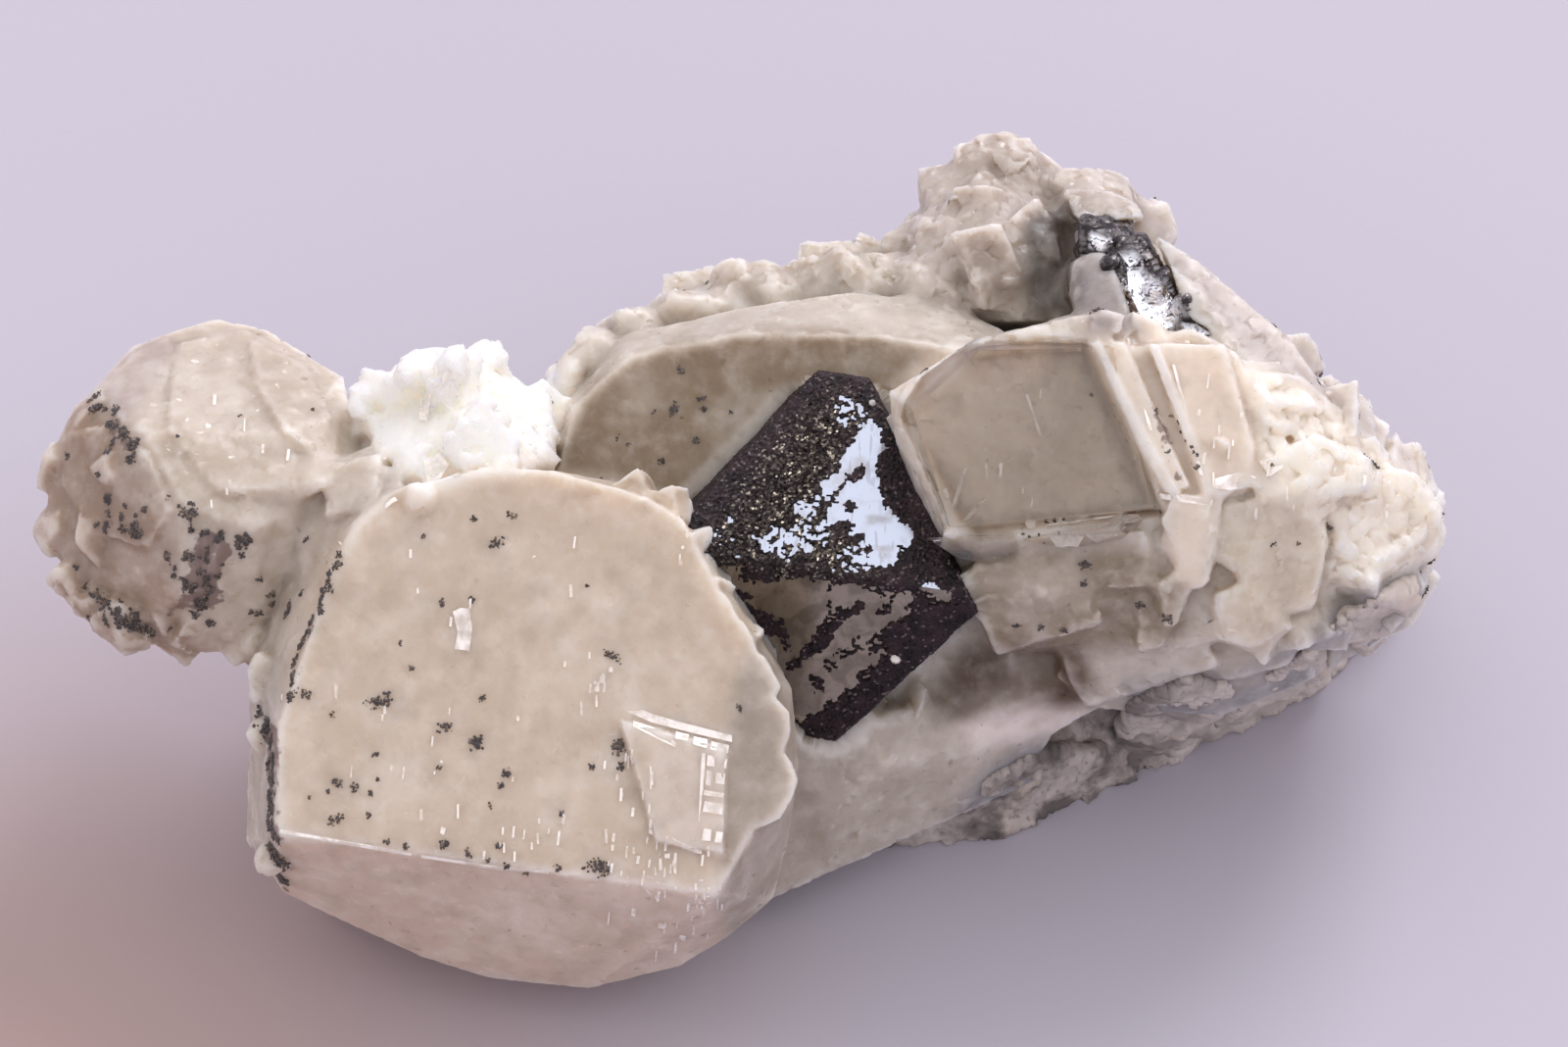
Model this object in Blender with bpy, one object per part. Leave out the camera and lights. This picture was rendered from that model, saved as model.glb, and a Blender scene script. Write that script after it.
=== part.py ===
"""Carrollite specimen: a steel-grey octahedral crystal grown in a cluster of milky calcite crystals.

Every length below is in millimetres; the finished solids are scaled to metres at the end.
The crystals are laid out in a sight frame: `across` runs to the right, `up` runs up the picture
plane and `toward` runs to the eye of someone who looks down on the specimen from its front.
The specimen rests on a flat cut at height 0, and its frame's origin is the middle of its base.
"""

import math
import random

import bmesh
import bpy
from mathutils import Euler, Matrix, Vector

MM = 0.001
SIGHT_ELEVATION = math.radians(50)
SIGHT_HEIGHT = 10.8  # the sight frame's origin above the cut base
CLEARANCE = 0.3  # air between two nodes, so that neighbouring solids never overlap
CLEAVAGE_SQUASH = 0.7  # a cube squashed this much along a diagonal is calcite's cleavage rhomb
GRAIN_SPREAD = (0.6, 1.3)  # smallest and largest grain of a patch, as shares of its usual size
GRAIN_SINK = 0.12  # how deep a grain's middle lies under the face it grew on, as a share of its size

for leftover in list(bpy.data.objects):
    bpy.data.objects.remove(leftover)


def sight(across, up, toward):
    """A point of the sight frame as a point of the standing specimen."""
    rise, run = math.sin(SIGHT_ELEVATION), math.cos(SIGHT_ELEVATION)
    return Vector((across, up * rise - toward * run, up * run + toward * rise + SIGHT_HEIGHT))


# Making and joining solids


def hull(points):
    """The convex solid round some points, which is how a well grown crystal is bounded."""
    solid = bmesh.new()
    for point in points:
        solid.verts.new(point)
    made = bmesh.ops.convex_hull(solid, input=solid.verts)
    spare = set(made["geom_interior"]) | set(made["geom_unused"])
    inner = [item for item in spare if isinstance(item, bmesh.types.BMVert)]
    bmesh.ops.delete(solid, geom=inner, context="VERTS")
    bmesh.ops.recalc_face_normals(solid, faces=solid.faces)
    return solid


def crystal(face, plane, flanks):
    """A crystal with one flat face to the eye.

    face is the outline of that face as (across, up); plane is its (toward at the origin, slope
    across, slope up); flanks are the (across, up, toward) corners behind it.
    """
    toward, slope_across, slope_up = plane
    corners = [sight(a, u, toward + slope_across * a + slope_up * u) for a, u in face]
    return hull(corners + [sight(*corner) for corner in flanks])


def rhomb(centre, size, turn):
    """A cleavage rhomb of calcite with edges near size, turned by three angles."""
    shape = bmesh.new()
    bmesh.ops.create_cube(shape, size=size)
    diagonal = Vector((1, 1, 1)).normalized()
    squash = Matrix.Scale(CLEAVAGE_SQUASH, 4, diagonal)
    place = Matrix.Translation(centre) @ Euler(turn).to_matrix().to_4x4() @ squash
    bmesh.ops.transform(shape, matrix=place, verts=shape.verts)
    return shape


def sugar(base, count, size, seed, facing=None, least=-0.2):
    """Small rhombs that stand half out of a crystal, spread over the faces that look towards facing."""
    chance = random.Random(seed)
    facing = facing or sight(0, 0, 1) - sight(0, 0, 0)
    base.faces.ensure_lookup_table()
    faces = [face for face in base.faces if face.normal.dot(facing) > least]
    areas = [face.calc_area() for face in faces]
    grains = []
    for face in chance.choices(faces, weights=areas, k=count):
        shares = [chance.random() for _ in face.verts]
        spot = sum((v.co * s for v, s in zip(face.verts, shares)), Vector()) / sum(shares)
        edge = size * chance.uniform(*GRAIN_SPREAD)
        turn = [chance.uniform(0, math.tau) for _ in range(3)]
        grains.append(rhomb(spot - face.normal * edge * GRAIN_SINK, edge, turn))
    return grains


def mesh_of(solids):
    """One mesh that holds every solid, still as separate shells."""
    joined = bmesh.new()
    for solid in solids:
        shell = bpy.data.meshes.new("shell")
        solid.to_mesh(shell)
        joined.from_mesh(shell)
        bpy.data.meshes.remove(shell)
    mesh = bpy.data.meshes.new("solids")
    joined.to_mesh(mesh)
    joined.free()
    return mesh


def carve(mesh, operation, other):
    """The exact Boolean of two meshes; shells that overlap within either mesh are joined first."""
    target = bpy.data.objects.new("target", mesh)
    tool = bpy.data.objects.new("tool", other)
    for helper in (target, tool):
        bpy.context.scene.collection.objects.link(helper)
    modifier = target.modifiers.new("carve", "BOOLEAN")
    modifier.operation = operation
    modifier.object = tool
    modifier.solver = "EXACT"
    modifier.use_self = True
    graph = bpy.context.evaluated_depsgraph_get()
    result = bpy.data.meshes.new_from_object(target.evaluated_get(graph))
    for helper in (target, tool):
        bpy.data.objects.remove(helper)
    return result


def largest_shell(mesh):
    """Drops crumbs that a cut left loose or barely touching, and hollows sealed between grains."""
    solid = bmesh.new()
    solid.from_mesh(mesh)
    solid.faces.ensure_lookup_table()
    unseen = set(solid.faces)
    shells = []
    while unseen:
        front = [unseen.pop()]
        shell = set(front)
        while front:
            sound = [edge for edge in front.pop().edges if edge.is_manifold]
            near = {face for edge in sound for face in edge.link_faces} & unseen
            unseen -= near
            shell |= near
            front += near
        shells.append(shell)
    main = max(shells, key=lambda shell: sum(face.calc_area() for face in shell))
    bmesh.ops.delete(solid, geom=list(set(solid.faces) - main), context="FACES")
    bmesh.ops.triangulate(solid, faces=solid.faces)
    solid.to_mesh(mesh)
    solid.free()
    return mesh


def grown(solid, gap):
    """A copy of a convex solid whose faces all stand gap further out."""
    bigger = solid.copy()
    bigger.normal_update()
    moves = [vert.normal * gap * vert.calc_shell_factor() for vert in bigger.verts]
    for vert, move in zip(bigger.verts, moves):
        vert.co += move
    return bigger


def box(low, high):
    """An upright box between two corners."""
    return hull([(x, y, z) for x in (low[0], high[0]) for y in (low[1], high[1]) for z in (low[2], high[2])])


# Front block: the largest calcite crystal, a flat face to the eye over a wide bevel

front_block = crystal(
    face=[(-13.3, -0.2), (-12.5, 1.2), (-11.4, 2.2), (-8.4, 2.9), (-6.4, 2.8), (-4.1, 2.2), (-2.3, 1.3),
          (-1.5, -1.0), (0.1, -3.4), (0.5, -5.5), (0.3, -8.0), (-1.2, -10.6), (-15.1, -8.7), (-15.0, -5.3)],
    plane=(5.4, 0.02, -0.05),
    flanks=[(1.2, -4.1, 3.9), (1.4, -6.6, 3.6), (1.1, -8.9, 2.8), (0.6, -10.8, 1.4), (-0.8, -12.0, 0.8),
            (-2.4, -13.0, 0.3), (-5.3, -13.7, 0.0), (-8.4, -13.4, 0.0), (-10.6, -12.7, 0.3),
            (-13.1, -11.5, 0.8), (-15.0, -10.6, 1.4), (-16.2, -9.0, 0.2), (-16.1, -3.0, 0.8),
            (-15.0, 0.6, 0.6), (-14.0, -11.0, -4.9), (-2.0, -12.3, -3.8), (-14.0, -5.0, -9.9),
            (0.0, -5.0, -9.9), (-12.0, 2.0, -6.0), (-2.0, 2.0, -6.0)],
)

block_window = crystal(
    face=[(-4.2, -5.1), (-0.9, -6.0), (-1.0, -9.3), (-3.1, -8.9), (-3.3, -6.7)],
    plane=(5.62, 0.02, -0.05),
    flanks=[(-4.4, -5.0, 5.0), (-0.6, -5.9, 4.6), (-0.8, -9.6, 4.6), (-3.2, -9.1, 5.0)],
)

block_rim = [
    rhomb(sight(a, u, t), s, (0.3 * a, 0.5 * u, 0.9))
    for a, u, t, s in [(-2.7, 1.6, 4.5, 1.2), (-3.7, 2.1, 4.4, 1.1), (-1.9, 0.5, 4.7, 1.0),
                       (-1.4, -1.0, 4.6, 1.1), (-0.4, -2.6, 4.6, 1.1), (0.3, -4.2, 4.4, 1.1),
                       (-12.6, 2.2, 3.2, 2.0)]
]

# Left crystal: a rounded, many-sided calcite that juts out over the surface

left_crystal = hull(
    sight(*corner)
    for corner in [(-21.1, 5.4, 0.0), (-19.9, 6.8, -1.2), (-18.3, 7.4, -2.0), (-17.2, 7.7, -2.4),
                   (-15.6, 7.3, -2.0), (-13.1, 5.8, 0.2), (-12.4, 2.4, 2.6), (-13.3, 0.1, 1.6),
                   (-16.0, -2.9, 1.2), (-17.8, -2.6, 1.0), (-20.0, -2.3, 0.8), (-21.5, -0.8, 0.5),
                   (-22.6, 0.9, 0.0), (-22.5, 2.8, 0.0), (-22.1, 3.9, 0.4), (-19.4, 4.1, 2.6),
                   (-18.0, 1.7, 4.0), (-15.8, 1.0, 4.1), (-18.2, -0.9, 3.0), (-14.6, 4.0, 3.0),
                   (-21.0, 4.4, -4.0), (-22.0, 1.5, -4.0), (-19.5, -1.0, -4.2), (-15.0, -1.0, -5.0),
                   (-13.8, 4.6, -5.0), (-17.8, 6.5, -6.0)]
)

left_neck = hull(
    sight(*corner)
    for corner in [(-15.8, 1.2, 2.0), (-12.0, 2.6, 3.6), (-13.0, -1.5, 2.4), (-15.9, -3.2, 0.2),
                   (-12.0, -4.0, -6.0), (-15.5, 2.0, -6.0), (-10.0, 4.0, -5.0), (-11.5, 4.6, 1.0)]
)

# Sugary lump: a knot of tiny bright calcite grains between the left crystal and the block

sugary_lump = hull(
    sight(*corner)
    for corner in [(-12.6, 5.2, 0.8), (-11.4, 6.2, 0.8), (-10.0, 6.5, 0.8), (-8.4, 6.0, 0.8),
                   (-6.5, 5.2, 0.4), (-6.3, 3.6, 1.6), (-8.0, 2.6, 4.4), (-10.3, 2.4, 4.6),
                   (-12.0, 3.4, 3.4), (-9.6, 4.6, 3.6), (-12.0, 4.0, -5.0), (-6.5, 4.5, -5.0),
                   (-9.5, 1.0, -5.0)]
)
sugary_grains = sugar(sugary_lump, count=24, size=1.9, seed=3)

# Back root: the rough broken foot of the cluster, seen only from behind and below

back_root = hull(
    Vector(corner)
    for corner in [(-13.5, -1.0, 0.6), (-13.8, 2.6, 3.0), (-12.2, 4.8, 1.2), (-8.0, 7.4, 0.4),
                   (-3.0, 9.6, 0.2), (0.5, 10.4, 1.0), (-2.6, 10.0, 5.6), (-7.6, 8.2, 6.4),
                   (-11.8, 5.0, 7.4), (-8.0, 3.0, 10.0), (-1.0, 4.0, 9.0), (-2.0, -1.0, -1.0),
                   (-12.0, -3.0, -1.0), (-4.0, 8.0, -1.0), (-11.0, 3.5, -1.0)]
)
root_grains = sugar(back_root, count=26, size=2.4, seed=42, facing=Vector((-0.4, 1, 0)))

# Back crystal: a broad smooth calcite behind the metallic crystal, with a lit rim along its top

back_crystal = crystal(
    face=[(-5.8, 4.8), (-4.0, 6.5), (-0.4, 7.2), (4.0, 7.1), (7.2, 6.6), (9.0, 4.0), (4.0, 0.5),
          (-3.0, 0.5), (-6.3, 2.6)],
    plane=(0.4, 0.0, -0.08),
    flanks=[(-6.6, 2.8, -1.2), (-6.1, 5.0, -2.0), (-4.2, 7.2, -2.2), (-0.4, 8.1, -2.4), (3.0, 8.6, -2.8),
            (6.0, 8.3, -2.8), (7.9, 7.4, -2.6), (10.0, 6.0, -3.0), (-6.0, -2.0, -8.0), (9.0, 4.0, -9.0),
            (2.0, -4.0, -9.0)],
)

# Back ridge: a rough crest of grains behind the smooth crystal

back_ridge = hull(
    sight(*corner)
    for corner in [(-6.8, 6.0, -6.0), (-5.2, 7.4, -6.2), (-2.2, 8.3, -6.2), (-0.9, 9.0, -6.4),
                   (2.6, 9.5, -6.8), (5.2, 9.7, -6.6), (6.0, 7.0, -3.6), (-1.0, 6.4, -3.4),
                   (-6.0, 5.0, -3.6), (-6.5, 3.0, -11.0), (-2.0, 6.0, -12.5), (5.0, 6.5, -13.0),
                   (2.0, 0.0, -12.0)]
)
ridge_grains = sugar(back_ridge, count=30, size=1.7, seed=8, facing=sight(0, 1, 0.2) - sight(0, 0, 0))

# Knob: the crumbly peak at the back right

knob = hull(
    sight(*corner)
    for corner in [(4.8, 9.5, -5.4), (5.6, 11.2, -5.6), (7.0, 12.6, -6.2), (8.2, 12.7, -6.4),
                   (10.4, 11.8, -6.2), (12.0, 10.9, -5.6), (10.6, 9.2, -3.2), (7.8, 10.0, -2.4),
                   (5.6, 9.2, -3.0), (8.6, 7.6, -2.8), (6.0, 7.6, -4.0), (11.6, 7.6, -4.4),
                   (5.0, 7.0, -12.0), (12.0, 7.0, -12.0), (8.0, 11.0, -11.0)]
)
knob_grains = sugar(knob, count=44, size=1.6, seed=25, facing=sight(0, 1, 0.5) - sight(0, 0, 0))

# Slope: the long flank that runs from the knob down to the right tip

slope = hull(
    sight(*corner)
    for corner in [(11.8, 10.9, -5.8), (14.6, 9.0, -5.6), (17.4, 6.7, -5.4), (19.6, 4.1, -4.8),
                   (12.0, 8.0, -2.6), (13.4, 7.0, 0.6), (16.2, 5.4, 1.2), (18.8, 3.2, 0.4),
                   (12.0, 4.0, -10.0), (18.0, 2.0, -10.0), (10.0, 8.0, -10.0)]
)
slope_grains = sugar(slope, count=12, size=1.8, seed=5, facing=sight(0.6, 1, 0.3) - sight(0, 0, 0))

# Glassy crystal: the clear rhomb right of the metallic crystal, with the ledge under it

glassy_crystal = crystal(
    face=[(5.0, 4.7), (7.1, 6.6), (11.2, 6.7), (12.2, 3.1), (12.6, 1.6), (6.2, 1.0)],
    plane=(5.2, 0.03, -0.06),
    flanks=[(4.3, 5.3, 3.6), (4.4, 4.0, 3.2), (5.8, 0.8, 3.2), (7.0, 7.0, 4.2), (11.4, 7.7, 3.4),
            (12.1, 6.9, 4.5), (13.9, 1.7, 4.6), (5.0, 5.0, -3.0), (12.0, 7.0, -4.0), (13.0, 1.0, -4.0),
            (6.0, 0.5, -3.0)],
)

glassy_ledge = hull(
    sight(*corner)
    for corner in [(5.9, 0.8, 5.2), (11.7, 1.4, 5.4), (11.2, 0.6, 5.0), (7.2, 0.2, 4.8), (6.0, 0.4, 4.0),
                   (11.6, 0.4, 3.6), (12.0, 1.5, 3.8), (6.2, 1.2, 3.8)]
)

# Cleavage steps: upright slices that lean against the glassy crystal's right side

STEPS = (
    # low edge across, high edge across, top of the slice, how far it stands towards the eye
    (11.9, 12.8, 7.9, 5.4),
    (12.7, 13.8, 7.4, 5.0),
    (13.7, 15.4, 6.6, 5.1),
    (15.2, 17.2, 5.9, 4.3),
)
STEP_LEAN = 2.3  # a slice's foot stands this far to the right of its head
STEP_FOOT = 1.9

cleavage_steps = [
    hull(
        sight(*corner)
        for corner in [(low, head, lift - 1.0), (high, head - 0.4, lift - 1.2),
                       (low + STEP_LEAN, STEP_FOOT, lift), (high + STEP_LEAN, STEP_FOOT + 0.4, lift - 0.5),
                       (low, head - 0.6, -5.0), (high + 0.6, head - 1.0, -5.0),
                       (low + STEP_LEAN, STEP_FOOT - 0.4, -4.0), (high + STEP_LEAN, STEP_FOOT, -4.0)]
    )
    for low, high, head, lift in STEPS
]

cap_slab = hull(
    sight(*corner)
    for corner in [(7.8, 7.0, 3.8), (11.2, 7.9, 3.6), (12.2, 7.6, 4.4), (11.4, 6.4, 5.0), (8.0, 6.7, 4.4),
                   (8.0, 6.6, -3.0), (12.0, 7.2, -3.0), (10.0, 7.8, 0.0)]
)

# Centre lump: the pale swelling under the glassy crystal

centre_lump = hull(
    sight(*corner)
    for corner in [(6.7, -0.6, 4.2), (7.2, 0.4, 4.6), (10.4, 0.6, 4.8), (13.0, 0.2, 4.4),
                   (13.6, -1.2, 3.6), (11.6, -2.6, 2.6), (7.8, -3.0, 2.6), (7.2, -1.6, 3.8),
                   (9.4, -1.2, 4.6), (7.0, -1.0, -4.0), (13.0, -2.0, -4.0), (10.0, -3.0, -3.0)]
)

hanging_plate = hull(
    sight(*corner)
    for corner in [(13.1, 2.2, 5.2), (14.8, 1.9, 5.2), (14.4, -0.8, 4.9), (13.9, -1.1, 4.8),
                   (12.9, 0.4, 5.0), (13.2, 2.2, 3.0), (14.9, 2.0, 3.0), (14.4, -0.6, 2.4),
                   (13.0, 0.4, 2.4)]
)

lower_plate = hull(
    sight(*corner)
    for corner in [(12.2, -0.8, 4.3), (13.3, -0.7, 4.2), (13.1, -2.7, 3.3), (12.1, -3.0, 3.2),
                   (12.0, -1.0, 0.0), (13.5, -1.0, 0.0), (12.6, -3.1, 0.0)]
)

# Right mass: the broad granular end

right_mass = hull(
    sight(*corner)
    for corner in [(14.6, 6.3, 3.6), (17.4, 5.6, 2.6), (19.7, 3.9, 1.0), (21.6, 1.8, -0.8),
                   (22.2, 0.8, -1.8), (21.7, -0.4, -2.2), (20.2, -1.2, 0.2), (17.6, -2.4, 1.4),
                   (15.0, -2.6, 2.0), (13.6, -1.0, 3.0), (14.2, 2.0, 4.6), (16.6, 2.8, 4.6),
                   (19.0, 1.2, 3.2), (21.4, 0.2, -8.0), (18.0, -2.6, -7.0), (16.6, 5.0, -8.0),
                   (20.2, 2.6, -8.0), (13.0, 0.0, -8.0)]
)
right_grains = sugar(right_mass, count=40, size=2.0, seed=13, facing=sight(0.5, 0.5, 1) - sight(0, 0, 0))

# Lower bulges: smooth swellings between the right mass and the rock

right_bulge = hull(
    sight(*corner)
    for corner in [(10.0, -2.8, 1.4), (13.4, -2.2, 2.2), (17.4, -2.2, 1.2), (18.0, -3.8, -1.4),
                   (15.0, -5.0, -2.0), (11.0, -4.8, -1.4), (9.6, -3.8, 0.0), (14.0, -3.6, 0.8),
                   (10.0, -3.0, -8.0), (18.0, -2.0, -8.0), (14.0, -5.0, -7.0)]
)

fan_bulge = hull(
    sight(*corner)
    for corner in [(14.4, -1.6, 2.6), (17.6, -2.4, 1.8), (17.0, -3.4, 1.0), (15.0, -3.9, 0.6),
                   (14.0, -3.0, 1.6), (14.0, -2.0, -4.0), (17.8, -2.6, -4.0), (15.2, -3.8, -4.0)]
)

lower_calcite = hull(
    sight(*corner)
    for corner in [(0.8, -5.4, 0.6), (3.0, -5.2, 0.2), (6.0, -4.6, -1.2), (9.6, -5.4, -2.8),
                   (9.0, -7.2, -4.6), (5.4, -8.2, -4.6), (2.4, -9.4, -4.0), (0.4, -11.0, -3.2),
                   (-1.0, -11.4, -3.0), (4.2, -6.6, -0.8), (0.0, -5.0, -10.0), (9.0, -5.0, -9.5),
                   (4.0, 0.0, -12.0)]
)
lower_grains = sugar(lower_calcite, count=7, size=1.4, seed=35, facing=Vector((0, 0, 1)), least=0.75)

# Heart: the calcite hidden behind everything, which all the crystals grow from

heart = hull(
    [sight(*corner)
     for corner in [(-13.0, 1.0, 0.0), (-6.0, 4.0, -1.0), (4.0, 6.0, -3.0), (14.0, 5.0, -1.0),
                    (19.0, 1.0, -3.0), (16.0, -2.0, -1.0), (6.0, -3.0, -2.0), (-1.0, -8.0, -2.0)]]
    + [Vector((-9, 2, 1)), Vector((16, 8, 1)), Vector((4, 12, 1)), Vector((-3, 8, 2)), Vector((3, -4, 1))]
)

# Host rock: the grey, layered wedge under the right end, thick at the back and thin in front

ROCK_FOOT = [(2.2, -3.6, 0), (7.5, -2.4, 0), (12.6, 0.1, 0), (17.8, 3.5, 0), (21.4, 6.9, 0),
             (21.0, 9.8, 0), (17.6, 13.0, 0), (12.4, 15.6, 0), (7.0, 16.2, 0), (2.6, 14.2, 0),
             (-0.6, 9.0, 0), (0.2, 0.5, 0)]
ROCK_CREST = [(4.0, -2.2, 3.4), (8.0, -0.9, 4.0), (12.8, 1.5, 4.4), (17.8, 4.8, 4.2), (20.6, 7.8, 4.2),
              (18.8, 9.4, 6.8), (15.2, 11.4, 10.2), (11.2, 13.4, 12.0), (7.0, 14.4, 10.8),
              (3.0, 13.0, 8.4), (1.0, 8.6, 6.0), (1.6, 1.2, 4.4)]
ROCK_LAYERS = 5
LAYER_LAP = 0.08  # each bed reaches this share of its thickness into the next
LAYER_JITTER = 0.35  # how far a corner of a bed's foot moves in plan
CREST_JITTER = 0.28  # and a corner of its top


def rock_layers(swell):
    """The wedge as stacked beds, each with its own broken outline."""
    chance = random.Random(17)
    beds = []
    for bed in range(ROCK_LAYERS):
        low, high = bed / ROCK_LAYERS, (bed + 1 + LAYER_LAP) / ROCK_LAYERS
        corners = []
        for foot, crest in zip(ROCK_FOOT, ROCK_CREST):
            foot, crest = Vector(foot), Vector(crest)
            way = Vector((chance.uniform(-1, 1), chance.uniform(-1, 1), 0))
            corners.append(foot.lerp(crest, low) + way * LAYER_JITTER)
            corners.append(foot.lerp(crest, high) + way * CREST_JITTER)
        beds.append(grown(hull(corners), swell) if swell else hull(corners))
    return beds


# Metallic crystals: the octahedron, and the bright seam under the knob

OCTAHEDRON_CENTRE = (2.5, 0.05, 0.2)
OCTAHEDRON_FACE = 3.52  # from the centre to an ordinary face
OCTAHEDRON_UP = (0.155, 0.98, 0.11)  # towards its top corner
OCTAHEDRON_LEFT = (-0.70, 0.04, 0.71)  # towards its near left corner
GROWN_FACES = {
    # faces that grew further out than the others: which side of each axis, and how much further
    (1, 1, -1): 0.9,
    (-1, -1, 1): 0.6,
}
BLUNT_TIP = 5.75  # the top and bottom corners end in small square faces this far out


def octahedron(swell):
    """The cubic crystal's octahedron, cut face by face from a block; swell moves every face out."""
    origin = sight(0, 0, 0)
    top = (sight(*OCTAHEDRON_UP) - origin).normalized()
    left = sight(*OCTAHEDRON_LEFT) - origin
    left = (left - top * left.dot(top)).normalized()
    right = top.cross(left)
    sides = [(a, b, c) for a in (1, -1) for b in (1, -1) for c in (1, -1)]
    cuts = [
        ((top * a + left * b + right * c).normalized(), OCTAHEDRON_FACE + GROWN_FACES.get((a, b, c), 0))
        for a, b, c in sides
    ]
    cuts += [(top, BLUNT_TIP), (-top, BLUNT_TIP)]
    solid = bmesh.new()
    bmesh.ops.create_cube(solid, size=BLUNT_TIP * 4)
    bmesh.ops.translate(solid, vec=sight(*OCTAHEDRON_CENTRE), verts=solid.verts)
    for normal, reach in cuts:
        everything = solid.verts[:] + solid.edges[:] + solid.faces[:]
        foot = sight(*OCTAHEDRON_CENTRE) + normal * (reach + swell)
        bmesh.ops.bisect_plane(solid, geom=everything, plane_co=foot, plane_no=normal, clear_outer=True)
        rim = [edge for edge in solid.edges if edge.is_boundary]
        bmesh.ops.holes_fill(solid, edges=rim)
    bmesh.ops.recalc_face_normals(solid, faces=solid.faces)
    return solid


SEAM_BLOBS = (
    # centre in the sight frame, reach
    ((11.2, 9.9, -1.6), 1.0),
    ((12.0, 9.0, -0.6), 1.1),
    ((12.7, 8.0, 0.6), 1.15),
    ((13.6, 7.3, 1.4), 1.0),
    ((14.9, 6.8, 1.6), 0.75),
    ((15.8, 6.2, 1.8), 0.6),
)
SEAM_OVERLAP = 1.35  # the small octahedra are this much larger than their reach, so that they fuse


def seam(swell):
    """The seam as a chain of small fused octahedra along the foot of the knob."""
    chance = random.Random(4)
    links = []
    for place, reach in SEAM_BLOBS:
        turn = Euler([chance.uniform(0, math.tau) for _ in range(3)]).to_matrix()
        corners = [turn @ Vector(axis) * way for axis in ((1, 0, 0), (0, 1, 0), (0, 0, 1)) for way in (1, -1)]
        size = (reach + swell) * SEAM_OVERLAP
        links.append(hull(sight(*place) + corner * size for corner in corners))
    return links


# Fusing and cutting

FAR = 40.0
below_base = mesh_of([box((-FAR, -FAR, -FAR), (FAR, FAR, 0))])

calcite = carve(
    mesh_of(
        [front_block, block_window, left_crystal, left_neck, sugary_lump, back_root, back_crystal, back_ridge,
         knob, slope, glassy_crystal, glassy_ledge, cap_slab, centre_lump, hanging_plate, lower_plate,
         right_mass, right_bulge, fan_bulge, lower_calcite]
        + block_rim + sugary_grains + ridge_grains + knob_grains + slope_grains + cleavage_steps
        + right_grains + lower_grains + root_grains
    ),
    "UNION",
    mesh_of([heart]),
)
room_for_others = [octahedron(CLEARANCE)] + rock_layers(CLEARANCE) + seam(CLEARANCE)
for room in room_for_others:
    calcite = carve(calcite, "DIFFERENCE", mesh_of([room]))
calcite = carve(calcite, "DIFFERENCE", below_base.copy())

beds = rock_layers(0)
rock = carve(mesh_of(beds[1:]), "UNION", mesh_of(beds[:1]))
rock = carve(rock, "DIFFERENCE", below_base.copy())

links = seam(0)
bright_seam = carve(mesh_of(links[1:]), "UNION", mesh_of(links[:1]))

# Named nodes, each with its own finish

NODES = (
    # name, mesh, base colour, roughness, metallic
    ("calcite_cluster", largest_shell(calcite), (0.71, 0.64, 0.56), 0.42, 0.0),
    ("host_rock", largest_shell(rock), (0.33, 0.33, 0.34), 0.85, 0.0),
    ("carrollite_crystal", largest_shell(mesh_of([octahedron(0)])), (0.60, 0.58, 0.57), 0.25, 1.0),
    ("carrollite_seam", largest_shell(bright_seam), (0.64, 0.64, 0.66), 0.22, 1.0),
)


def middle_of(meshes):
    """The middle of everything in plan, which becomes the origin."""
    spots = [vert.co for mesh in meshes for vert in mesh.vertices]
    middle = [(min(s[k] for s in spots) + max(s[k] for s in spots)) / 2 for k in (0, 1)]
    return Vector((*middle, 0))


middle = middle_of([mesh for _, mesh, *_ in NODES])
to_metres = Matrix.Scale(MM, 4) @ Matrix.Translation(-middle)

for name, mesh, colour, roughness, metallic in NODES:
    mesh.transform(to_metres)
    mesh.name = name
    node = bpy.data.objects.new(name, mesh)
    bpy.context.scene.collection.objects.link(node)
    material = bpy.data.materials.new(name)
    material.use_nodes = True
    finish = material.node_tree.nodes["Principled BSDF"]
    finish.inputs["Base Color"].default_value = (*colour, 1)
    finish.inputs["Roughness"].default_value = roughness
    finish.inputs["Metallic"].default_value = metallic
    mesh.materials.clear()
    mesh.materials.append(material)
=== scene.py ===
import itertools
import math
import random

import bmesh
import bpy
import numpy as np
from mathutils import Euler, Matrix, Vector
from mathutils.bvhtree import BVHTree


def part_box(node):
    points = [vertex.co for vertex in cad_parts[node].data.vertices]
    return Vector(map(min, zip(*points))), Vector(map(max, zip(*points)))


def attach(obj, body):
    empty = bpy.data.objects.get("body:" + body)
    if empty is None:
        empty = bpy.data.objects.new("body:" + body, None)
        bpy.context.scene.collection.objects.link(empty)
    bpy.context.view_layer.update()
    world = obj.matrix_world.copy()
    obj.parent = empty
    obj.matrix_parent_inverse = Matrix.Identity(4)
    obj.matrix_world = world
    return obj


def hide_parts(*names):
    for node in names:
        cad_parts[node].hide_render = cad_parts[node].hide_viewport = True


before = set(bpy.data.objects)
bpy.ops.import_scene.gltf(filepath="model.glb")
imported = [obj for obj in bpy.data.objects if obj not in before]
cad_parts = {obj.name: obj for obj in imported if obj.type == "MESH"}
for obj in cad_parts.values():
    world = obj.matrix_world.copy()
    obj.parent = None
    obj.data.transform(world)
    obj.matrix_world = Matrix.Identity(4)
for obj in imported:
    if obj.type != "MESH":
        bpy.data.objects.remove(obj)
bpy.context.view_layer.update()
MM = 0.001

# The sight line
# The specimen is looked down on from its front, 50 degrees above the floor and 0.6 m away. Every
# place given in pixels below is a pixel of that view, 1600 across and 1068 down.

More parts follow.
